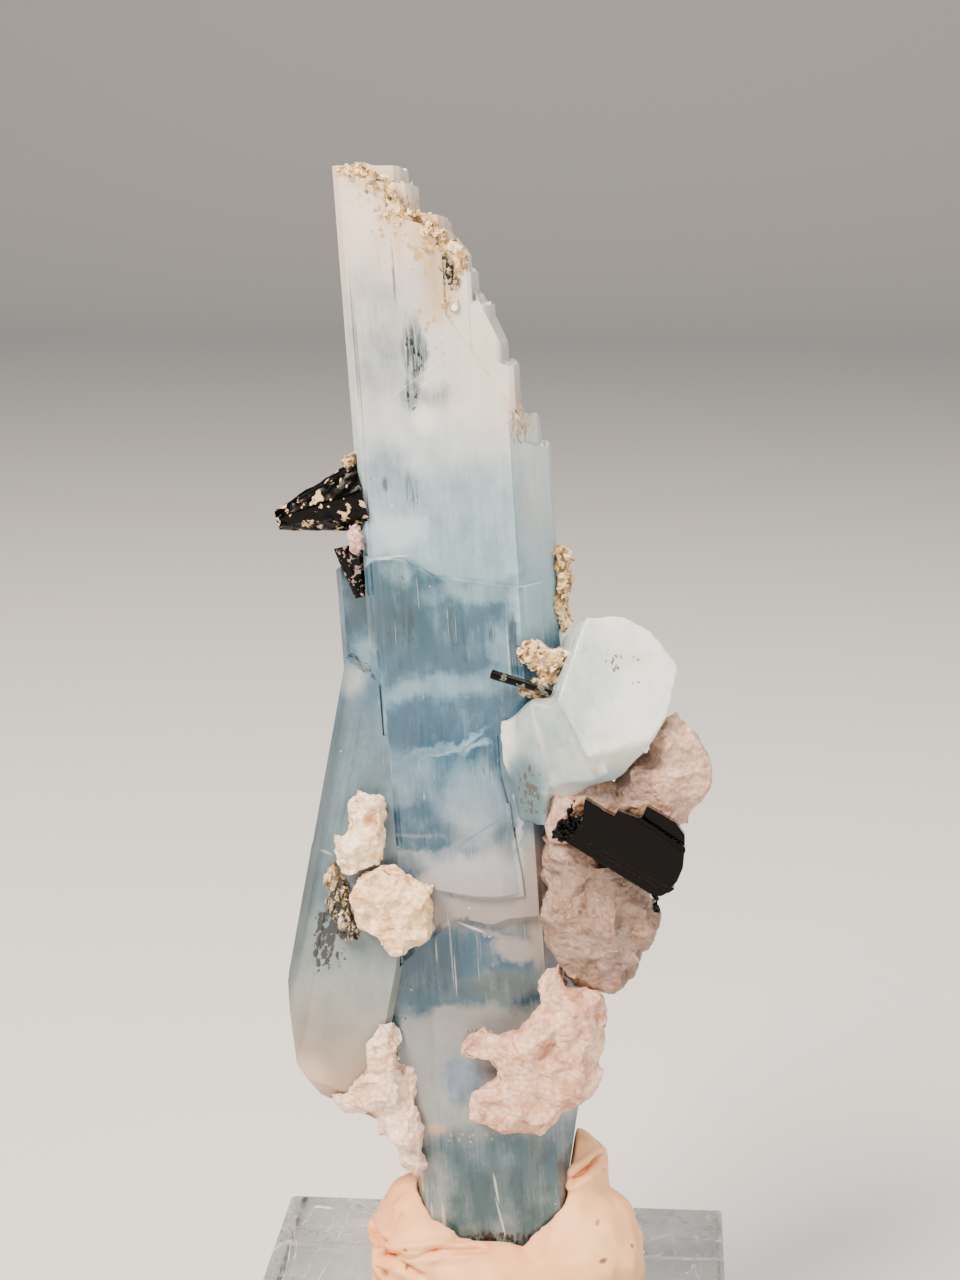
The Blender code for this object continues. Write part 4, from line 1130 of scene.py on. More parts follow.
@dataclass
class AquamarineBundle:
    """The tall stepped bundle of parallel prisms and the crystal that grew against its left side.

    Places are in crystal millimetres: across to the right, depth to the back and along the prism.
    """

    # The crisp upper edge of the younger layers on the front: across and along
    wave: tuple = (
        (-13.0, 113.2), (-11.8, 114.7), (-10.2, 115.9), (-6.5, 115.3), (-4.7, 114.1), (-1.4, 112.3),
        (2.1, 111.3), (7.8, 110.4), (11.5, 110.2), (14.0, 110.4))
    # The uneven lower edge of the same layers
    overhang: tuple = (
        (-12.3, 52.0), (-9.5, 52.5), (-7.0, 54.0), (-4.0, 57.0), (-1.0, 59.5), (3.0, 58.7), (6.0, 59.5),
        (14.0, 60.0))
    # Where the layers start in the CAD
    layer_foot: float = 59.5
    # The front face's slanted upper edge: its height, where that is across, and its fall to the millimetre
    slant: tuple = (158.8, -3.0, 1.592)
    # The right edge of the front plates: along, then across
    plate_side: tuple = ((63.4, 8.3), (75.2, 7.2), (84.6, 6.0), (98.0, 6.0))
    # The left edge of the narrow plate that lies at the right, and where both plates end
    plate_strip: float = 6.0
    plate_top: float = 98.0
    # Depths of the fronts: the cap, the shaft, what lies under the layers, the layers and the plates
    cap_front: float = -8.9
    shaft_front: float = -9.0
    under_layers: float = -9.28
    layer_front: float = -10.3
    left_layer_front: float = -10.62
    plate_front: float = -10.8
    # The steps at the right of the cap
    step_front: float = -8.72
    step_middle: float = -7.0
    step_back: float = -3.0
    # The side crystal's front, and how far it may stand out where it passes under the main crystal
    side_front: float = -6.8
    side_tucked: float = -6.4
    # The width of the worn edges, and the height of a striation
    edge_round: float = 0.16
    ridge: float = 0.06

    def join_blades(self, shape: bmesh.types.BMesh) -> None:
        """Blend neighbouring blades into each other where no edge shows between them.

        Args:
            shape: the main crystal, in crystal millimetres.
        """
        for vertex in shape.verts:
            across, depth, along = vertex.co
            level = self.shaft_front + 0.3 * eased(4.0, 9.0, across)
            if along > 105.0 and self.cap_front - 0.35 < depth < self.cap_front:
                vertex.co.y = toward(depth, self.cap_front, eased(-4.0, 2.2, across))
            elif self.left_layer_front < depth < self.layer_front and across < -1.9:
                vertex.co.y = toward(depth, self.layer_front, eased(-6.0, -2.0, across))
            elif along < 66.0 and self.shaft_front - 0.65 < depth < level:
                # The narrow blade at the shaft's left ends in a slanted top that sinks away
                top = 50.0 - (across + 8.4) * 0.432
                blade = eased(-8.4, -5.0, across) * (1.0 - eased(2.0, 5.5, across))
                blade *= 1.0 - eased(top - 7.0, top, along)
                strip = (1.0 - eased(-9.5, -6.0, across)) * eased(30.0, 38.0, along)
                vertex.co.y = level + (depth - level) * max(blade, strip)
            if depth < -9.7 and along < 70.0:
                edge = through(self.overhang, across)
                if across < -1.99:
                    vertex.co.z = max(along, edge)
                else:
                    fade = 1.0 - eased(self.layer_foot, self.layer_foot + 6.5, along)
                    vertex.co.z += (edge - self.layer_foot) * fade
        bmesh.ops.remove_doubles(shape, verts=shape.verts, dist=0.002)

    def shape_wave(self, shape: bmesh.types.BMesh) -> None:
        """Bend the straight upper edge of the front layers into its wave, and sink their left end.

        Args:
            shape: the main crystal, in crystal millimetres.
        """
        reach = 5.0
        for vertex in shape.verts:
            across, depth, along = vertex.co
            if depth > self.under_layers:
                continue
            straight = max(116.0 - (across + 12.3) * 0.369, 113.4 - (across + 7.0) * 0.187)
            near = max(0.0, 1.0 - abs(along - straight) / reach)
            vertex.co.z += (through(self.wave, across) - straight) * near * near * (3.0 - 2.0 * near)
            if along > 60.0:
                sunk = 0.6 * eased(60.0, 68.0, along) + 0.4 * eased(86.0, 104.0, along)
                sunk *= 1.0 - eased(-12.4, -9.8, across)
                vertex.co.y = toward(depth, self.under_layers, sunk)

    def join_steps(self, shape: bmesh.types.BMesh) -> None:
        """Bring the stepped prisms at the right of the cap forward, level with the front face.

        Args:
            shape: the main crystal, in crystal millimetres.
        """
        top, start, slope = self.slant
        for vertex in shape.verts:
            across, depth, along = vertex.co
            if across < 1.0 or along < 128.0:
                continue
            above = along - top + (across - start) * slope
            if depth < -8.0 and above > -5.0:
                vertex.co.y += (self.step_front - depth) * eased(-5.0, 0.0, above)
            elif -8.0 <= depth < self.step_back and above > -1.0:
                if depth < -6.0:
                    level = self.step_middle + (depth - self.step_middle) * 0.4
                else:
                    level = self.step_back + (depth - self.step_back) * 1.2
                share = min(1.0, (self.step_back - level) / 3.6)
                vertex.co.y = level - 1.6 * share * (1.0 - eased(3.0, 18.0, above))

    def fade_plates(self, shape: bmesh.types.BMesh) -> None:
        """Let the front plates rise out of the layer behind them, and bend their right edge and foot.

        Args:
            shape: the main crystal, in crystal millimetres.
        """
        for vertex in shape.verts:
            across, depth, along = vertex.co
            if depth > self.layer_front - 0.05 or along > self.plate_top:
                continue
            behind = self.left_layer_front + 0.3 * eased(-6.0, -2.0, across)
            if depth < behind:
                share = (1.0 - eased(73.0, 91.0, along)) * eased(-10.7, -6.5, across)
                vertex.co.y = behind + (depth - behind) * share
            edge = through(self.plate_side, along)
            if across > self.plate_strip:
                vertex.co.x = edge + (across - self.plate_strip) * 0.07
            else:
                vertex.co.x += (edge - self.plate_strip) * eased(0.0, self.plate_strip, across)
            if across > self.plate_strip + 0.05:
                vertex.co.y = behind
            elif vertex.co.y < self.plate_front:
                vertex.co.y = toward(vertex.co.y, self.plate_front, eased(edge - 3.5, edge, vertex.co.x))
            foot = 1.6 * (1.0 - eased(-7.0, 2.0, across)) - 0.4 * eased(2.0, 8.0, across)
            vertex.co.z += foot * (1.0 - eased(63.0, 71.0, along))

    def tuck_side(self, shape: bmesh.types.BMesh) -> None:
        """Let the left crystal's front blade fade in, and bend its front back under the main crystal.

        Args:
            shape: the side crystal, in crystal millimetres.
        """
        to_main = MAIN_GROWTH.matrix().inverted() @ SIDE_GROWTH.matrix()
        for vertex in shape.verts:
            if vertex.co.y < self.side_front:
                vertex.co.y = toward(vertex.co.y, self.side_front, eased(46.0, 61.0, vertex.co.z))
            place = to_main @ vertex.co
            if place.z < 62.0 or vertex.co.y > self.side_tucked:
                continue
            bent = eased(-15.6, -12.2, place.x) * eased(62.0, 68.0, place.z)
            vertex.co.y = toward(vertex.co.y, self.side_tucked, bent)

    def ridges(self, shape: bmesh.types.BMesh, rise: float, seed: int) -> None:
        """Raise the striations that run along the prism faces, fine ones on broader flats.

        Args:
            shape: a crystal, in crystal millimetres.
            rise: how high a ridge is.
            seed: which of the random layouts is used.
        """
        shape.normal_update()
        levels = 3.0
        moves = []
        for vertex in shape.verts:
            side = Vector((vertex.normal.x, vertex.normal.y, 0.0))
            if abs(vertex.normal.z) > 0.8:
                continue
            around = vertex.co.x + vertex.co.y * 0.8
            fine = noise.noise(Vector((around * 2.1, seed, vertex.co.z * 0.010)))
            step = noise.noise(Vector((around * 0.55, seed + 9.0, vertex.co.z * 0.006)))
            moves.append((vertex, side * (0.4 * fine + round(step * levels) / levels) * rise))
        shift(moves)

    def crumble(self, shape: bmesh.types.BMesh, low: float, height: float, seed: int) -> None:
        """Break the flat tops of the steps into small uneven ones.

        Args:
            shape: a crystal, in crystal millimetres.
            low: tops under this height stay.
            height: how far the new tops differ.
            seed: which of the random layouts is used.
        """
        for vertex in shape.verts:
            if vertex.co.z > low and vertex.normal.z > 0.45:
                cell = Vector((vertex.co.x * 0.9, vertex.co.y * 0.7, seed))
                vertex.co.z += (noise.cell(cell) - 0.5) * height
                vertex.co.z += noise.noise(Vector((vertex.co.x, vertex.co.y, seed))) * height * 0.6

    def striated(self, node: str, growth: Growth, low: Triple, high: Triple, seed: int) -> bmesh.types.BMesh:
        """Return a CAD crystal with worn edges, cut into fine strips along its growth direction.

        Args:
            node: the CAD node.
            growth: the crystal's own frame.
            low: where the cuts start on each axis.
            high: where they end.
            seed: which random spacing is used.

        Returns:
            Its mesh in crystal millimetres.
        """
        shape = crystal_copy(node, growth)
        sharp = [edge for edge in shape.edges if edge.calc_face_angle(0.0) > math.radians(20.0)]
        bmesh.ops.bevel(
            shape, geom=sharp, offset=self.edge_round, offset_type="OFFSET", segments=2, profile=0.5,
            affect="EDGES", material=-1, clamp_overlap=True)
        for axis, step in enumerate((0.42, 0.62, 3.0)):
            slice_grid(shape, axis, low[axis], high[axis], step, seed + axis)
        return shape

    def build_main(self) -> bmesh.types.BMesh:
        """Return the stepped bundle."""
        shape = self.striated("aquamarine_main", MAIN_GROWTH, (-18.0, -11.6, 3.0), (16.0, 9.0, 172.0), 11)
        self.join_blades(shape)
        self.fade_plates(shape)
        self.shape_wave(shape)
        self.join_steps(shape)
        self.ridges(shape, self.ridge, 3)
        self.crumble(shape, 117.0, 0.7, 5)
        shape.transform(MAIN_GROWTH.matrix())
        return shape

    def build_side(self) -> bmesh.types.BMesh:
        """Return the left crystal."""
        shape = self.striated("aquamarine_left", SIDE_GROWTH, (-9.8, -7.4, 1.0), (8.4, 6.6, 70.0), 21)
        self.tuck_side(shape)
        self.ridges(shape, self.ridge * 0.8, 13)
        self.crumble(shape, 55.0, 0.4, 15)
        shape.transform(SIDE_GROWTH.matrix())
        return shape

    def dress(self) -> None:
        """Build and finish both crystals."""
        main = BerylFinish(
            "aquamarine_zoned", MAIN_GROWTH, 180.0,
            milkiness=(
                (0.0, 0.2), (0.125, 0.12), (0.145, 0.85), (0.24, 0.85), (0.26, 0.06), (0.31, 0.06),
                (0.335, 0.9), (0.38, 0.9), (0.41, 0.3), (0.47, 0.35), (0.49, 0.06), (0.515, 0.06),
                (0.53, 0.4), (0.55, 0.06)),
            cap_milkiness=((0.60, 0.80), (0.70, 0.84), (0.76, 0.92), (0.83, 0.90), (0.92, 0.97)),
            clear_colours=(
                (0.0, "#4D7379"), (0.13, "#3F6C7A"), (0.3, "#236481"), (0.5, "#3A7496"), (0.62, "#457C97"),
                (1.0, "#8CB1BE")),
            milky_colours=(
                (0.0, "#A3AAA6"), (0.21, "#94989A"), (0.24, "#868888"), (0.33, "#918C88"), (0.38, "#A4A9B0"),
                (0.5, "#80A9BD"), (0.62, "#A2C5D3"), (0.70, "#B9D3DE"), (0.76, "#DAE1E1"), (0.88, "#F0E5DB"),
                (1.0, "#FDE7D4")),
            veils=MAIN_VEILS, stains=MAIN_STAINS, grains=MAIN_GRAINS, tubes=MAIN_TUBES, flecks=MAIN_FLECKS,
            wave=self.wave)
        side = BerylFinish(
            "aquamarine_side", SIDE_GROWTH, 75.0,
            milkiness=(
                (0.0, 0.95), (0.2, 0.85), (0.38, 0.6), (0.48, 0.35), (0.63, 0.35), (0.66, 0.42), (1.0, 0.3)),
            clear_colours=((0.0, "#5E706A"), (0.4, "#467184"), (1.0, "#3E7593")),
            milky_colours=(
                (0.0, "#AC8A72"), (0.12, "#A09284"), (0.25, "#979E9A"), (0.5, "#889DA6"), (1.0, "#7BA0B6")),
            veils=SIDE_VEILS, stains=SIDE_STAINS, grains=SIDE_GRAINS, grain_colour="#050606",
            opaque_grains=True)
        show("main_crystal", self.build_main(), main.make(), "aquamarine_main", 12.0)
        show("side_crystal", self.build_side(), side.make(), "aquamarine_left", 12.0)


@dataclass
class StubCrystal:
    """The short pale beryl on the right, with soft worn edges and a frosted root."""

    voxel: float = 0.42
    # How far its lower edge hangs or lifts: across, then by how much
    hem: tuple = ((4.0, 0.0), (5.5, -3.0), (9.3, -3.4), (10.2, 1.6), (18.0, 2.0), (23.0, 0.6), (26.0, 0.0))
    corner_drop: float = 3.6

    def build(self) -> bmesh.types.BMesh:
        """Return the stub."""
        shape = melted(cad_copy("beryl_right"), self.voxel)
        relax(shape, 3)
        roughen(shape, 5.0, 0.28, 4)
        for vertex in shape.verts:
            across, _, high = vertex.co / MM
            low = 1.0 - eased(112.0, 121.0, high)
            corner = (1.0 - eased(3.2, 8.0, across)) * eased(123.0, 131.0, high)
            vertex.co.z += (through(self.hem, across) * low - self.corner_drop * corner) * MM
        return shape

    def dress(self) -> None:
        """Build and finish the stub."""
        finish = BerylFinish(
            "beryl_frosted", Growth((20.4, -16.0, 131.0)), 30.0,
            milkiness=((0.0, 0.9), (1.0, 0.9)),
            clear_colours=((0.0, "#8FB6C2"), (1.0, "#A9C6CC")),
            milky_colours=((0.0, "#EDF7F2"), (1.0, "#FFFFF2")),
            veils=STUB_VEILS, stains=STUB_STAINS, grains=STUB_GRAINS, grain_colour="#3A352C",
            smooth=0.14, frosted=0.36, clearest=0.5, cloudiest=0.07, mottle=0.8, absorption_density=20.0,
            opaque_grains=True)
        show("stub_crystal", self.build(), finish.make(), "beryl_right", 60.0)


@dataclass(frozen=True)
class GrainyLump:
    """One sugary mass: its CAD node, the widths of its skin's faces and of its blocks, and its tones."""

    node: str
    voxel: float
    block: float
    stained: float
    seed: int
    pale: str
    warm: str
    # How far its back is let into what carries it, in millimetres
    sink: float = 0.0
    # Chunks beside the CAD's own: middle and radii, in millimetres
    chunks: tuple[tuple[Triple, Triple], ...] = ()


FELDSPAR_LUMPS = (
    # The two left lumps' tones are lightened as painted light, for the key lamp that falls hardest on them
    GrainyLump("feldspar_left_upper", 0.26, 3.2, 0.1, 31, "#FFEFD0", "#FFD6AC", 0.9),
    GrainyLump("feldspar_left_lower", 0.28, 3.4, 0.2, 32, "#FFE4B8", "#F8C692", 0.9),
    GrainyLump("feldspar_left_top", 0.16, 1.4, 0.1, 33, "#E4C0B2", "#C99A8C"),
    GrainyLump(
        "feldspar_bottom_left", 0.28, 3.6, 0.2, 34, "#FFE6CF", "#EEC4A4",
        chunks=(((-12.1, -8.0, 67.0), (1.9, 2.4, 5.2)),)),
    GrainyLump(
        "feldspar_right_upper", 0.36, 4.0, 0.6, 35, "#CFB0A0", "#B8917C",
        chunks=(((15.0, -12.5, 114.6), (6.5, 3.4, 3.6)), ((11.5, -13.5, 111.0), (2.8, 2.6, 4.0)))),
    # The middle right lump's tones are darkened as painted shade, for the shadow under the stub and the
    # schorl
    GrainyLump(
        "feldspar_right_mid", 0.36, 4.4, 0.3, 36, "#9A8378", "#836858",
        chunks=(((11.2, -8.5, 100.0), (3.2, 3.2, 8.5)),)),
    GrainyLump("feldspar_right_lower", 0.36, 4.6, 0.3, 37, "#EFC6AA", "#C58E75"),
)


@dataclass
class FeldsparMasses:
    """The pinkish white lumps on both sides."""

    lumps: tuple[GrainyLump, ...] = FELDSPAR_LUMPS
    # Lumps with blocks wider than this have a finer sugar on them
    wide_block: float = 3.7

    def build(self, lump: GrainyLump) -> bmesh.types.BMesh:
        """Return one lump, with broken faces, smaller grains on them and a sugary skin.

        Args:
            lump: the lump.

        Returns:
            Its mesh in metres.
        """
        shape = cad_copy(lump.node)
        for middle, radii in lump.chunks:
            place = Matrix.LocRotScale(Vector(middle) * MM, None, Vector(radii) * MM)
            bmesh.ops.create_icosphere(shape, subdivisions=2, radius=1.0, matrix=place)
        shape = melted(shape, lump.voxel)
        relax(shape, 2)
        facet(shape, lump.block, 0.8, 0.30, lump.seed)
        roughen(shape, 4.5, 0.5, lump.seed + 20)
        relax(shape, 1)
        facet(shape, lump.block * 0.36, 0.4, 0.2, lump.seed + 50)
        roughen(shape, 0.8, 0.20 if lump.block < self.wide_block else 0.10, lump.seed)
        back = max(vertex.co.y for vertex in shape.verts)
        for vertex in shape.verts:
            vertex.co.y += lump.sink * MM * eased(back - 2.5 * MM, back, vertex.co.y)
        return shape

    def dress(self) -> None:
        """Build and finish every lump."""
        for lump in self.lumps:
            finish = FeldsparFinish(f"{lump.node}_sugary", lump.pale, lump.warm, lump.stained)
            name = lump.node.replace("feldspar_", "") + "_feldspar"
            show(name, self.build(lump), finish.make(), lump.node, 40.0)


@dataclass(frozen=True)
class Crust:
    """One mica crust: its CAD node, its flakes, their width, and how it lies on what carries it."""

    node: str
    flakes: int
    width: float
    voxel: float
    seed: int
    growth: Growth = MAIN_GROWTH
    cracked: tuple[Veil, ...] = ()
    # Where the face under it lies in depth, how far it is pressed flat on it, and how broken it is
    face: float = -9.1
    flat: float = 0.0
    broken: float = 0.0


MUSCOVITE_CRUSTS = (
    Crust(
        "muscovite_top", 900, 1.0, 0.22, 61, cracked=veils((2.6, 156.6, 1.5, 2.6, 0.6, 0.3)), flat=0.62,
        broken=0.85),
    Crust("muscovite_right_edge", 300, 1.2, 0.26, 62, broken=0.5),
    Crust("muscovite_middle", 420, 1.3, 0.26, 63, broken=0.4),
    Crust("muscovite_left", 50, 1.3, 0.22, 64, SIDE_GROWTH, veils((-3.0, 30.0, 4.0, 9.0, 1.0, 0.2))),
    Crust("muscovite_cap", 50, 0.8, 0.18, 65),
)


@dataclass
class MuscoviteCrusts:
    """Tan mica that crusts the crystal's steps and edges."""

    crusts: tuple[Crust, ...] = MUSCOVITE_CRUSTS
    flake_thickness: float = 0.07
    # The width of the patches that a broken crust is made of, in millimetres
    patch: float = 1.5

    def press(self, shape: bmesh.types.BMesh, crust: Crust) -> None:
        """Press a crust flat on its crystal, and sink parts of it so that it breaks into a film of patches.

        Args:
            shape: the crust's base, in metres.
            crust: what it is like.
        """
        shape.transform(crust.growth.matrix().inverted())
        for vertex in shape.verts:
            if vertex.co.y < crust.face:
                vertex.co.y += (crust.face - vertex.co.y) * crust.flat
            film = noise.turbulence(vertex.co / self.patch, 3, False)
            sunk = crust.broken * (1.0 - eased(0.22, 0.42, film))
            vertex.co.y += sunk
            vertex.co.z -= sunk * 0.5
        shape.transform(crust.growth.matrix())

    def build(self, crust: Crust) -> bmesh.types.BMesh:
        """Return a knobbly base with thin six-sided flakes set in its skin.

        Args:
            crust: the crust.

        Returns:
            Its mesh in metres.
        """
        shape = melted(cad_copy(crust.node), crust.voxel)
        relax(shape, 1)
        facet(shape, crust.width, 0.7, 0.35, crust.seed)
        roughen(shape, 0.8, 0.35, crust.seed)
        self.press(shape, crust)
        shape.normal_update()
        draw = random.Random(crust.seed)
        seats = [(vertex.co.copy(), vertex.normal.copy()) for vertex in shape.verts]
        for _ in range(crust.flakes):
            place, normal = draw.choice(seats)
            tilt = Euler([draw.gauss(0.0, 0.45) for _ in range(3)])
            turn = normal.to_track_quat("Z", "Y").to_matrix() @ tilt.to_matrix()
            radius = crust.width * draw.uniform(0.22, 0.55) * MM
            matrix = Matrix.Translation(place - normal * radius * 0.25) @ turn.to_4x4()
            bmesh.ops.create_cone(
                shape, cap_ends=True, segments=6, radius1=radius, radius2=radius * 0.9,
                depth=self.flake_thickness * MM * draw.uniform(0.7, 2.2), matrix=matrix)
        return shape

    def dress(self) -> None:
        """Build and finish every crust."""
        for crust in self.crusts:
            name = crust.node.replace("muscovite_", "") + "_muscovite"
            finish = MuscoviteFinish(f"{crust.node}_flaky", crust.growth, crust.cracked)
            show(name, self.build(crust), finish.make(), crust.node, 25.0)


@dataclass(frozen=True)
class StriatedPrism:
    """A small schorl: its piece, CAD node, strips' width, grooves' depth, seed and finish."""

    piece: str
    node: str
    strip: float
    groove: float
    seed: int
    finish: SchorlFinish


SMALL_PRISMS = (
    StriatedPrism(
        "left_schorl", "schorl_left", 0.45, 0.35, 72,
        SchorlFinish(
            "schorl_with_mica", Growth.along((-30.8, -6.4, 154.0), (-18.4, -4.6, 158.2)),
            patches=0.40, patch_colour="#C2AC84", patch_size=1.5)),
    StriatedPrism(
        "left_schorl_wedge", "schorl_left_lower", 0.35, 0.2, 73,
        SchorlFinish(
            "schorl_mottled", Growth.along((-20.4, -7.2, 151.0), (-18.6, -8.8, 143.6)),
            patches=0.45, patch_colour="#8C7B78", patch_size=0.8)),
    StriatedPrism(
        "needle_schorl", "schorl_needle", 0.2, 0.1, 74,
        SchorlFinish(
            "schorl_worn", Growth.along((1.2, -13.0, 133.3), (10.8, -14.6, 131.0)),
            patches=0.62, patch_colour="#5E6258", patch_size=2.2)),
)


@dataclass
class SchorlCrystals:
    """The black tourmaline prisms."""

    prisms: tuple[StriatedPrism, ...] = SMALL_PRISMS
    # The right prism's slabs: their outlines across and up, then their fronts and backs
    slabs: tuple = (
        (((13.6, 112.0), (15.1, 114.2), (15.4, 117.3), (17.7, 116.0), (17.9, 115.7), (19.7, 114.8),
          (20.2, 115.7), (23.5, 114.5), (29.9, 110.0), (29.7, 107.3), (28.9, 105.2), (27.9, 104.0)),
         -22.4, -14.5),
        (((23.7, 114.6), (24.4, 116.3), (28.5, 113.9), (29.9, 112.0), (29.9, 110.4)), -21.9, -13.8),
        (((22.9, 114.5), (23.5, 114.9), (30.0, 110.4), (30.0, 109.6)), -22.75, -14.0),
        (((12.4, 111.8), (13.4, 112.8), (28.6, 103.9), (27.6, 103.2)), -22.0, -15.0),
        (((12.1, 110.8), (12.4, 111.8), (27.6, 103.1), (26.6, 102.5), (25.4, 102.6)), -21.3, -15.6),
    )
    # Its broken left end, two slivers on it, and a stalk with a crumb that hangs below its foot
    broken: tuple = (
        (((10.8, 111.7), (11.2, 113.0), (12.4, 113.8), (14.0, 114.0), (15.6, 114.3), (14.6, 112.0),
          (12.4, 110.9)),
         -22.3, -15.5),
        (((12.9, 113.6), (12.8, 115.1), (13.1, 115.0), (13.4, 113.8)), -21.4, -20.9),
        (((12.8, 114.8), (13.9, 116.9), (14.1, 116.9), (13.3, 115.0)), -21.4, -20.9),
        (((25.6, 102.8), (25.7, 100.9), (26.1, 100.9), (26.5, 102.8)), -20.8, -20.2),
        (((25.2, 100.3), (25.7, 101.2), (26.2, 101.1), (26.5, 100.0), (25.9, 99.6)), -20.9, -19.9),
    )
    # The slabs' backs lie lower than their fronts, by this share of their depth
    fall: float = 0.24
    # Worn edges of the slabs and of the broken end
    edge: float = 0.12
    broken_edge: float = 0.2

    def striated(self, prism: StriatedPrism) -> bmesh.types.BMesh:
        """Return a prism with grooves along its length.

        Args:
            prism: the prism.

        Returns:
            Its mesh in metres.
        """
        growth = prism.finish.growth
        shape = crystal_copy(prism.node, growth)
        for axis in (0, 1):
            slice_grid(shape, axis, -9.0, 9.0, prism.strip, prism.seed + axis)
        slice_grid(shape, 2, -8.0, 26.0, prism.strip * 3.0, prism.seed + 2)
        bmesh.ops.triangulate(shape, faces=shape.faces)
        shape.normal_update()
        moves = []
        for vertex in shape.verts:
            side = Vector((vertex.normal.x, vertex.normal.y, 0.0))
            around = math.atan2(vertex.co.y, vertex.co.x) * Vector((vertex.co.x, vertex.co.y)).length
            groove = noise.noise(Vector((around * 1.6, prism.seed, vertex.co.z * 0.03)))
            moves.append((vertex, side * groove * prism.groove))
        shift(moves)
        shape.transform(growth.matrix())
        return shape

    def slab(self, outline: tuple, front: float, back: float, edge: float) -> bmesh.types.BMesh:
        """Return one closed slab.

        Args:
            outline: its corners across and up, in millimetres.
            front: where its front lies.
            back: where its back lies.
            edge: the width of its worn edges.

        Returns:
            Its mesh in metres.
        """
        part = bmesh.new()
        corners = [part.verts.new((x * MM, front * MM, z * MM)) for x, z in outline]
        pushed = bmesh.ops.extrude_face_region(part, geom=[part.faces.new(corners)])["geom"]
        moved = [item for item in pushed if isinstance(item, bmesh.types.BMVert)]
        thick = front - back
        bmesh.ops.translate(part, vec=(0.0, -thick * MM, thick * self.fall * MM), verts=moved)
        bmesh.ops.recalc_face_normals(part, faces=part.faces)
        bmesh.ops.bevel(
            part, geom=part.edges[:], offset=edge * MM, offset_type="OFFSET", segments=1, profile=0.5,
            affect="EDGES", material=-1, clamp_overlap=True)
        return part

    def right_prism(self) -> bmesh.types.BMesh:
        """Return the right prism: stepped slabs that lie along it, a bevelled lower side and a broken end."""
        shape = bmesh.new()
        for outline, front, back in self.slabs:
            absorb(shape, self.slab(outline, front, back, self.edge))
        end = bmesh.new()
        for outline, front, back in self.broken:
            absorb(end, self.slab(outline, front, back, self.broken_edge))
        end = melted(end, 0.22)
        roughen(end, 1.1, 1.1, 75, True)
        absorb(shape, end)
        return shape

    def dress(self) -> None:
        """Build and finish the prisms."""
        right = SchorlFinish("schorl_glassy", Growth.along((11.4, -17.8, 112.4), (28.6, -18.4, 104.2)))
        show("right_schorl", self.right_prism(), right.make(), "schorl_right", 25.0)
        for prism in self.prisms:
            show(prism.piece, self.striated(prism), prism.finish.make(), prism.node, 25.0)


@dataclass(frozen=True)
class Crease:
    """A fold pressed into the tack: the points that it runs through, its half width and its depth."""

    points: tuple[Triple, ...]
    half_width: float
    depth: float

    def nearest(self, place: Vector) -> float:
        """Return how far a place is from the fold, in millimetres."""
        best = math.inf
        for start, end in zip(self.points, self.points[1:]):
            near, share = intersect_point_line(place, Vector(start), Vector(end))
            near = Vector(start) if share < 0.0 else Vector(end) if share > 1.0 else near
            best = min(best, (place - near).length)
        return best

    def push(self, place: Vector) -> float:
        """Return how far a place moves out: down into the fold, and up on the lips beside it."""
        away = self.nearest(place) / self.half_width
        if away >= 4.0:
            return 0.0
        return self.depth * (0.45 * math.exp(-(away - 2.0) ** 2) - 1.3 * math.exp(-away * away * 1.4))


@dataclass
class DisplayStand:
    """The mound of tack and the clear block."""

    voxel: float = 0.42
    creases: tuple[Crease, ...] = (
        Crease(
            ((-18.7, -1.4, 39.6), (-17.1, -8.0, 41.1), (-15.5, -11.0, 40.8), (-15.2, -12.1, 39.5)),
            0.55, 1.3),
        Crease(((-15.2, -12.1, 39.5), (-7.3, -13.5, 41.3), (-0.8, -12.5, 41.3)), 0.6, 1.2),
        Crease(((-15.5, -10.7, 41.0), (-14.1, -10.7, 43.1), (-12.9, -10.4, 45.2)), 0.55, 0.5),
        Crease(((-14.9, -12.3, 39.4), (-11.6, -13.8, 38.5), (-9.7, -14.1, 37.3)), 0.7, 1.0),
        Crease(((17.9, -3.0, 53.2), (16.8, -4.6, 52.8), (15.6, -5.9, 52.3), (13.2, -7.4, 51.0)), 0.6, 1.3),
        Crease(((-17.2, -9.4, 37.0), (-15.6, -12.1, 36.7)), 0.7, 0.8),
    )

    def build_mound(self) -> bmesh.types.BMesh:
        """Return the pressed mound with its folds."""
        shape = melted(cad_copy("mineral_tack"), self.voxel)
        relax(shape, 6)
        shape.normal_update()
        moves = []
        for vertex in shape.verts:
            if vertex.co.y <= 0.0:
                move = sum(crease.push(vertex.co / MM) for crease in self.creases)
                moves.append((vertex, vertex.normal * move * MM))
        shift(moves)
        return shape

    def dress(self) -> None:
        """Build the mound and finish it and the block."""
        finish = TackFinish("tack_cream", TACK_FOLD_SHADE_AND_SPECKS).make()
        show("tack_mound", self.build_mound(), finish, "mineral_tack", 70.0)
        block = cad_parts["acrylic_base"]
        block.data.materials.clear()
        block.data.materials.append(AcrylicFinish("acrylic_clear").make())


# ---------------------------------------------------------------------------------------------------------
# Studio


@dataclass(frozen=True)
class Lamp:
    """One soft square light: its name, its place and side in metres, its watts and its colour."""

    name: str
    place: Triple
    size: float
    power: float
    colour: str

    def hang(self, aim: Triple) -> None:
        """Hang the light and point it at a place in metres."""
        light = bpy.data.lights.new(self.name, "AREA")
        light.shape = "SQUARE"
        light.size = self.size
        light.energy = self.power
        light.color = linear(self.colour)[:3]
        thing = bpy.data.objects.new(self.name, light)
        thing.location = self.place
        thing.rotation_euler = (Vector(aim) - Vector(self.place)).to_track_quat("-Z", "Y").to_euler()
        bpy.context.scene.collection.objects.link(thing)


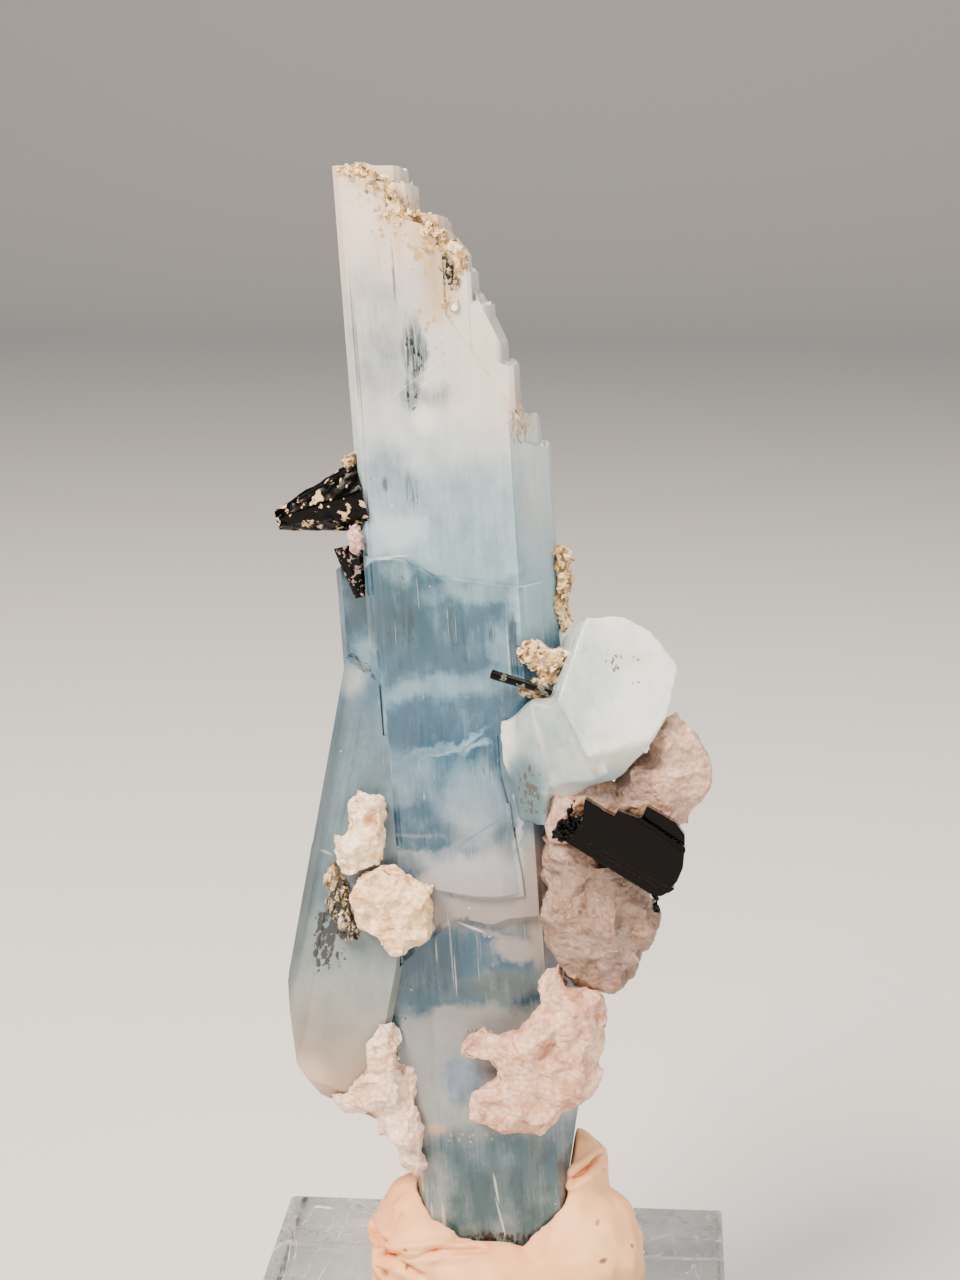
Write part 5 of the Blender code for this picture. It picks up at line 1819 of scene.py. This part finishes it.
@dataclass
class Studio:
    """A pale floor that sweeps up behind, soft lights and the camera."""

    # The camera's place in millimetres, its angles in degrees and its lens on a 36 mm sensor
    camera_place: Triple = (27.214, -365.44, 217.855)
    camera_pitch: float = 12.666
    camera_yaw: float = 4.491
    lens: float = 69.62
    sensor: float = 36.0
    # The floor: half its side, how far back its middle is, its gap under the block and its sweep's radius
    floor_reach: float = 1.6
    floor_back: float = 0.2
    floor_gap: float = 0.0002
    sweep: float = 0.6
    aim: Triple = (0.0, 0.0, 0.12)
    lamps: tuple[Lamp, ...] = (
        Lamp("key_light", (-0.45, -0.66, 0.95), 0.42, 38.0, "#FFEAD6"),
        Lamp("fill_light", (0.75, -0.55, 0.45), 0.6, 6.0, "#FFF2E6"),
        Lamp("top_light", (0.1, 0.1, 0.95), 0.5, 9.0, "#FFF8F0"),
    )
    sky: str = "#DDE2E8"
    sky_strength: float = 0.30

    def lay_floor(self) -> None:
        """Lay the floor and the sweep behind it."""
        rear = self.floor_reach + self.floor_back
        shape = bmesh.new()
        bmesh.ops.create_grid(shape, x_segments=2, y_segments=2, size=self.floor_reach)
        bmesh.ops.translate(shape, vec=(0.0, self.floor_back, -self.floor_gap), verts=shape.verts)
        back = [edge for edge in shape.edges if all(vertex.co.y > rear - 0.1 for vertex in edge.verts)]
        bmesh.ops.spin(
            shape, geom=back, cent=(0.0, rear, self.sweep), axis=(1.0, 0.0, 0.0), angle=math.radians(90.0),
            steps=12)
        mesh = bpy.data.meshes.new("floor")
        shape.to_mesh(mesh)
        shape.free()
        recipe = Recipe("floor_paper")
        grain = add_node(recipe.tree, "TexNoise", {"Vector": recipe.place, "Scale": 900.0, "Detail": 3.0})
        recipe.set(Base_Color=recipe.blend(grain, "#DAD9D7", "#DFDEDC"), Roughness=0.7)
        mesh.materials.append(recipe.material)
        mesh.polygons.foreach_set("use_smooth", [True] * len(mesh.polygons))
        floor = bpy.data.objects.new("floor", mesh)
        bpy.context.scene.collection.objects.link(floor)

    def set_world(self) -> None:
        """Light the room with an even pale sky."""
        world = bpy.data.worlds.new("studio")
        world.use_nodes = True
        background = world.node_tree.nodes["Background"]
        feed(world.node_tree, background.inputs["Color"], linear(self.sky))
        feed(world.node_tree, background.inputs["Strength"], self.sky_strength)
        bpy.context.scene.world = world

    def set_camera(self) -> None:
        """Put the camera where the specimen is seen from."""
        camera = bpy.data.cameras.new("camera")
        camera.lens = self.lens
        camera.sensor_width = self.sensor
        camera.sensor_fit = "AUTO"
        camera.clip_start = 0.01
        thing = bpy.data.objects.new("camera", camera)
        thing.location = Vector(self.camera_place) * MM
        thing.rotation_euler = (math.radians(90.0 - self.camera_pitch), 0.0, math.radians(self.camera_yaw))
        bpy.context.scene.collection.objects.link(thing)
        bpy.context.scene.camera = thing

    def dress(self) -> None:
        """Set the stage."""
        self.lay_floor()
        for lamp in self.lamps:
            lamp.hang(self.aim)
        self.set_world()
        self.set_camera()


def main() -> None:
    """Build every piece and note the sizes."""
    logging.basicConfig(level=logging.INFO, format="%(message)s")
    groups = (
        Studio(), AquamarineBundle(), StubCrystal(), FeldsparMasses(), MuscoviteCrusts(), SchorlCrystals(),
        DisplayStand())
    for group in groups:
        group.dress()
        LOG.info("dressed %s", type(group).__name__)
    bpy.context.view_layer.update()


if __name__ == "__main__":
    main()
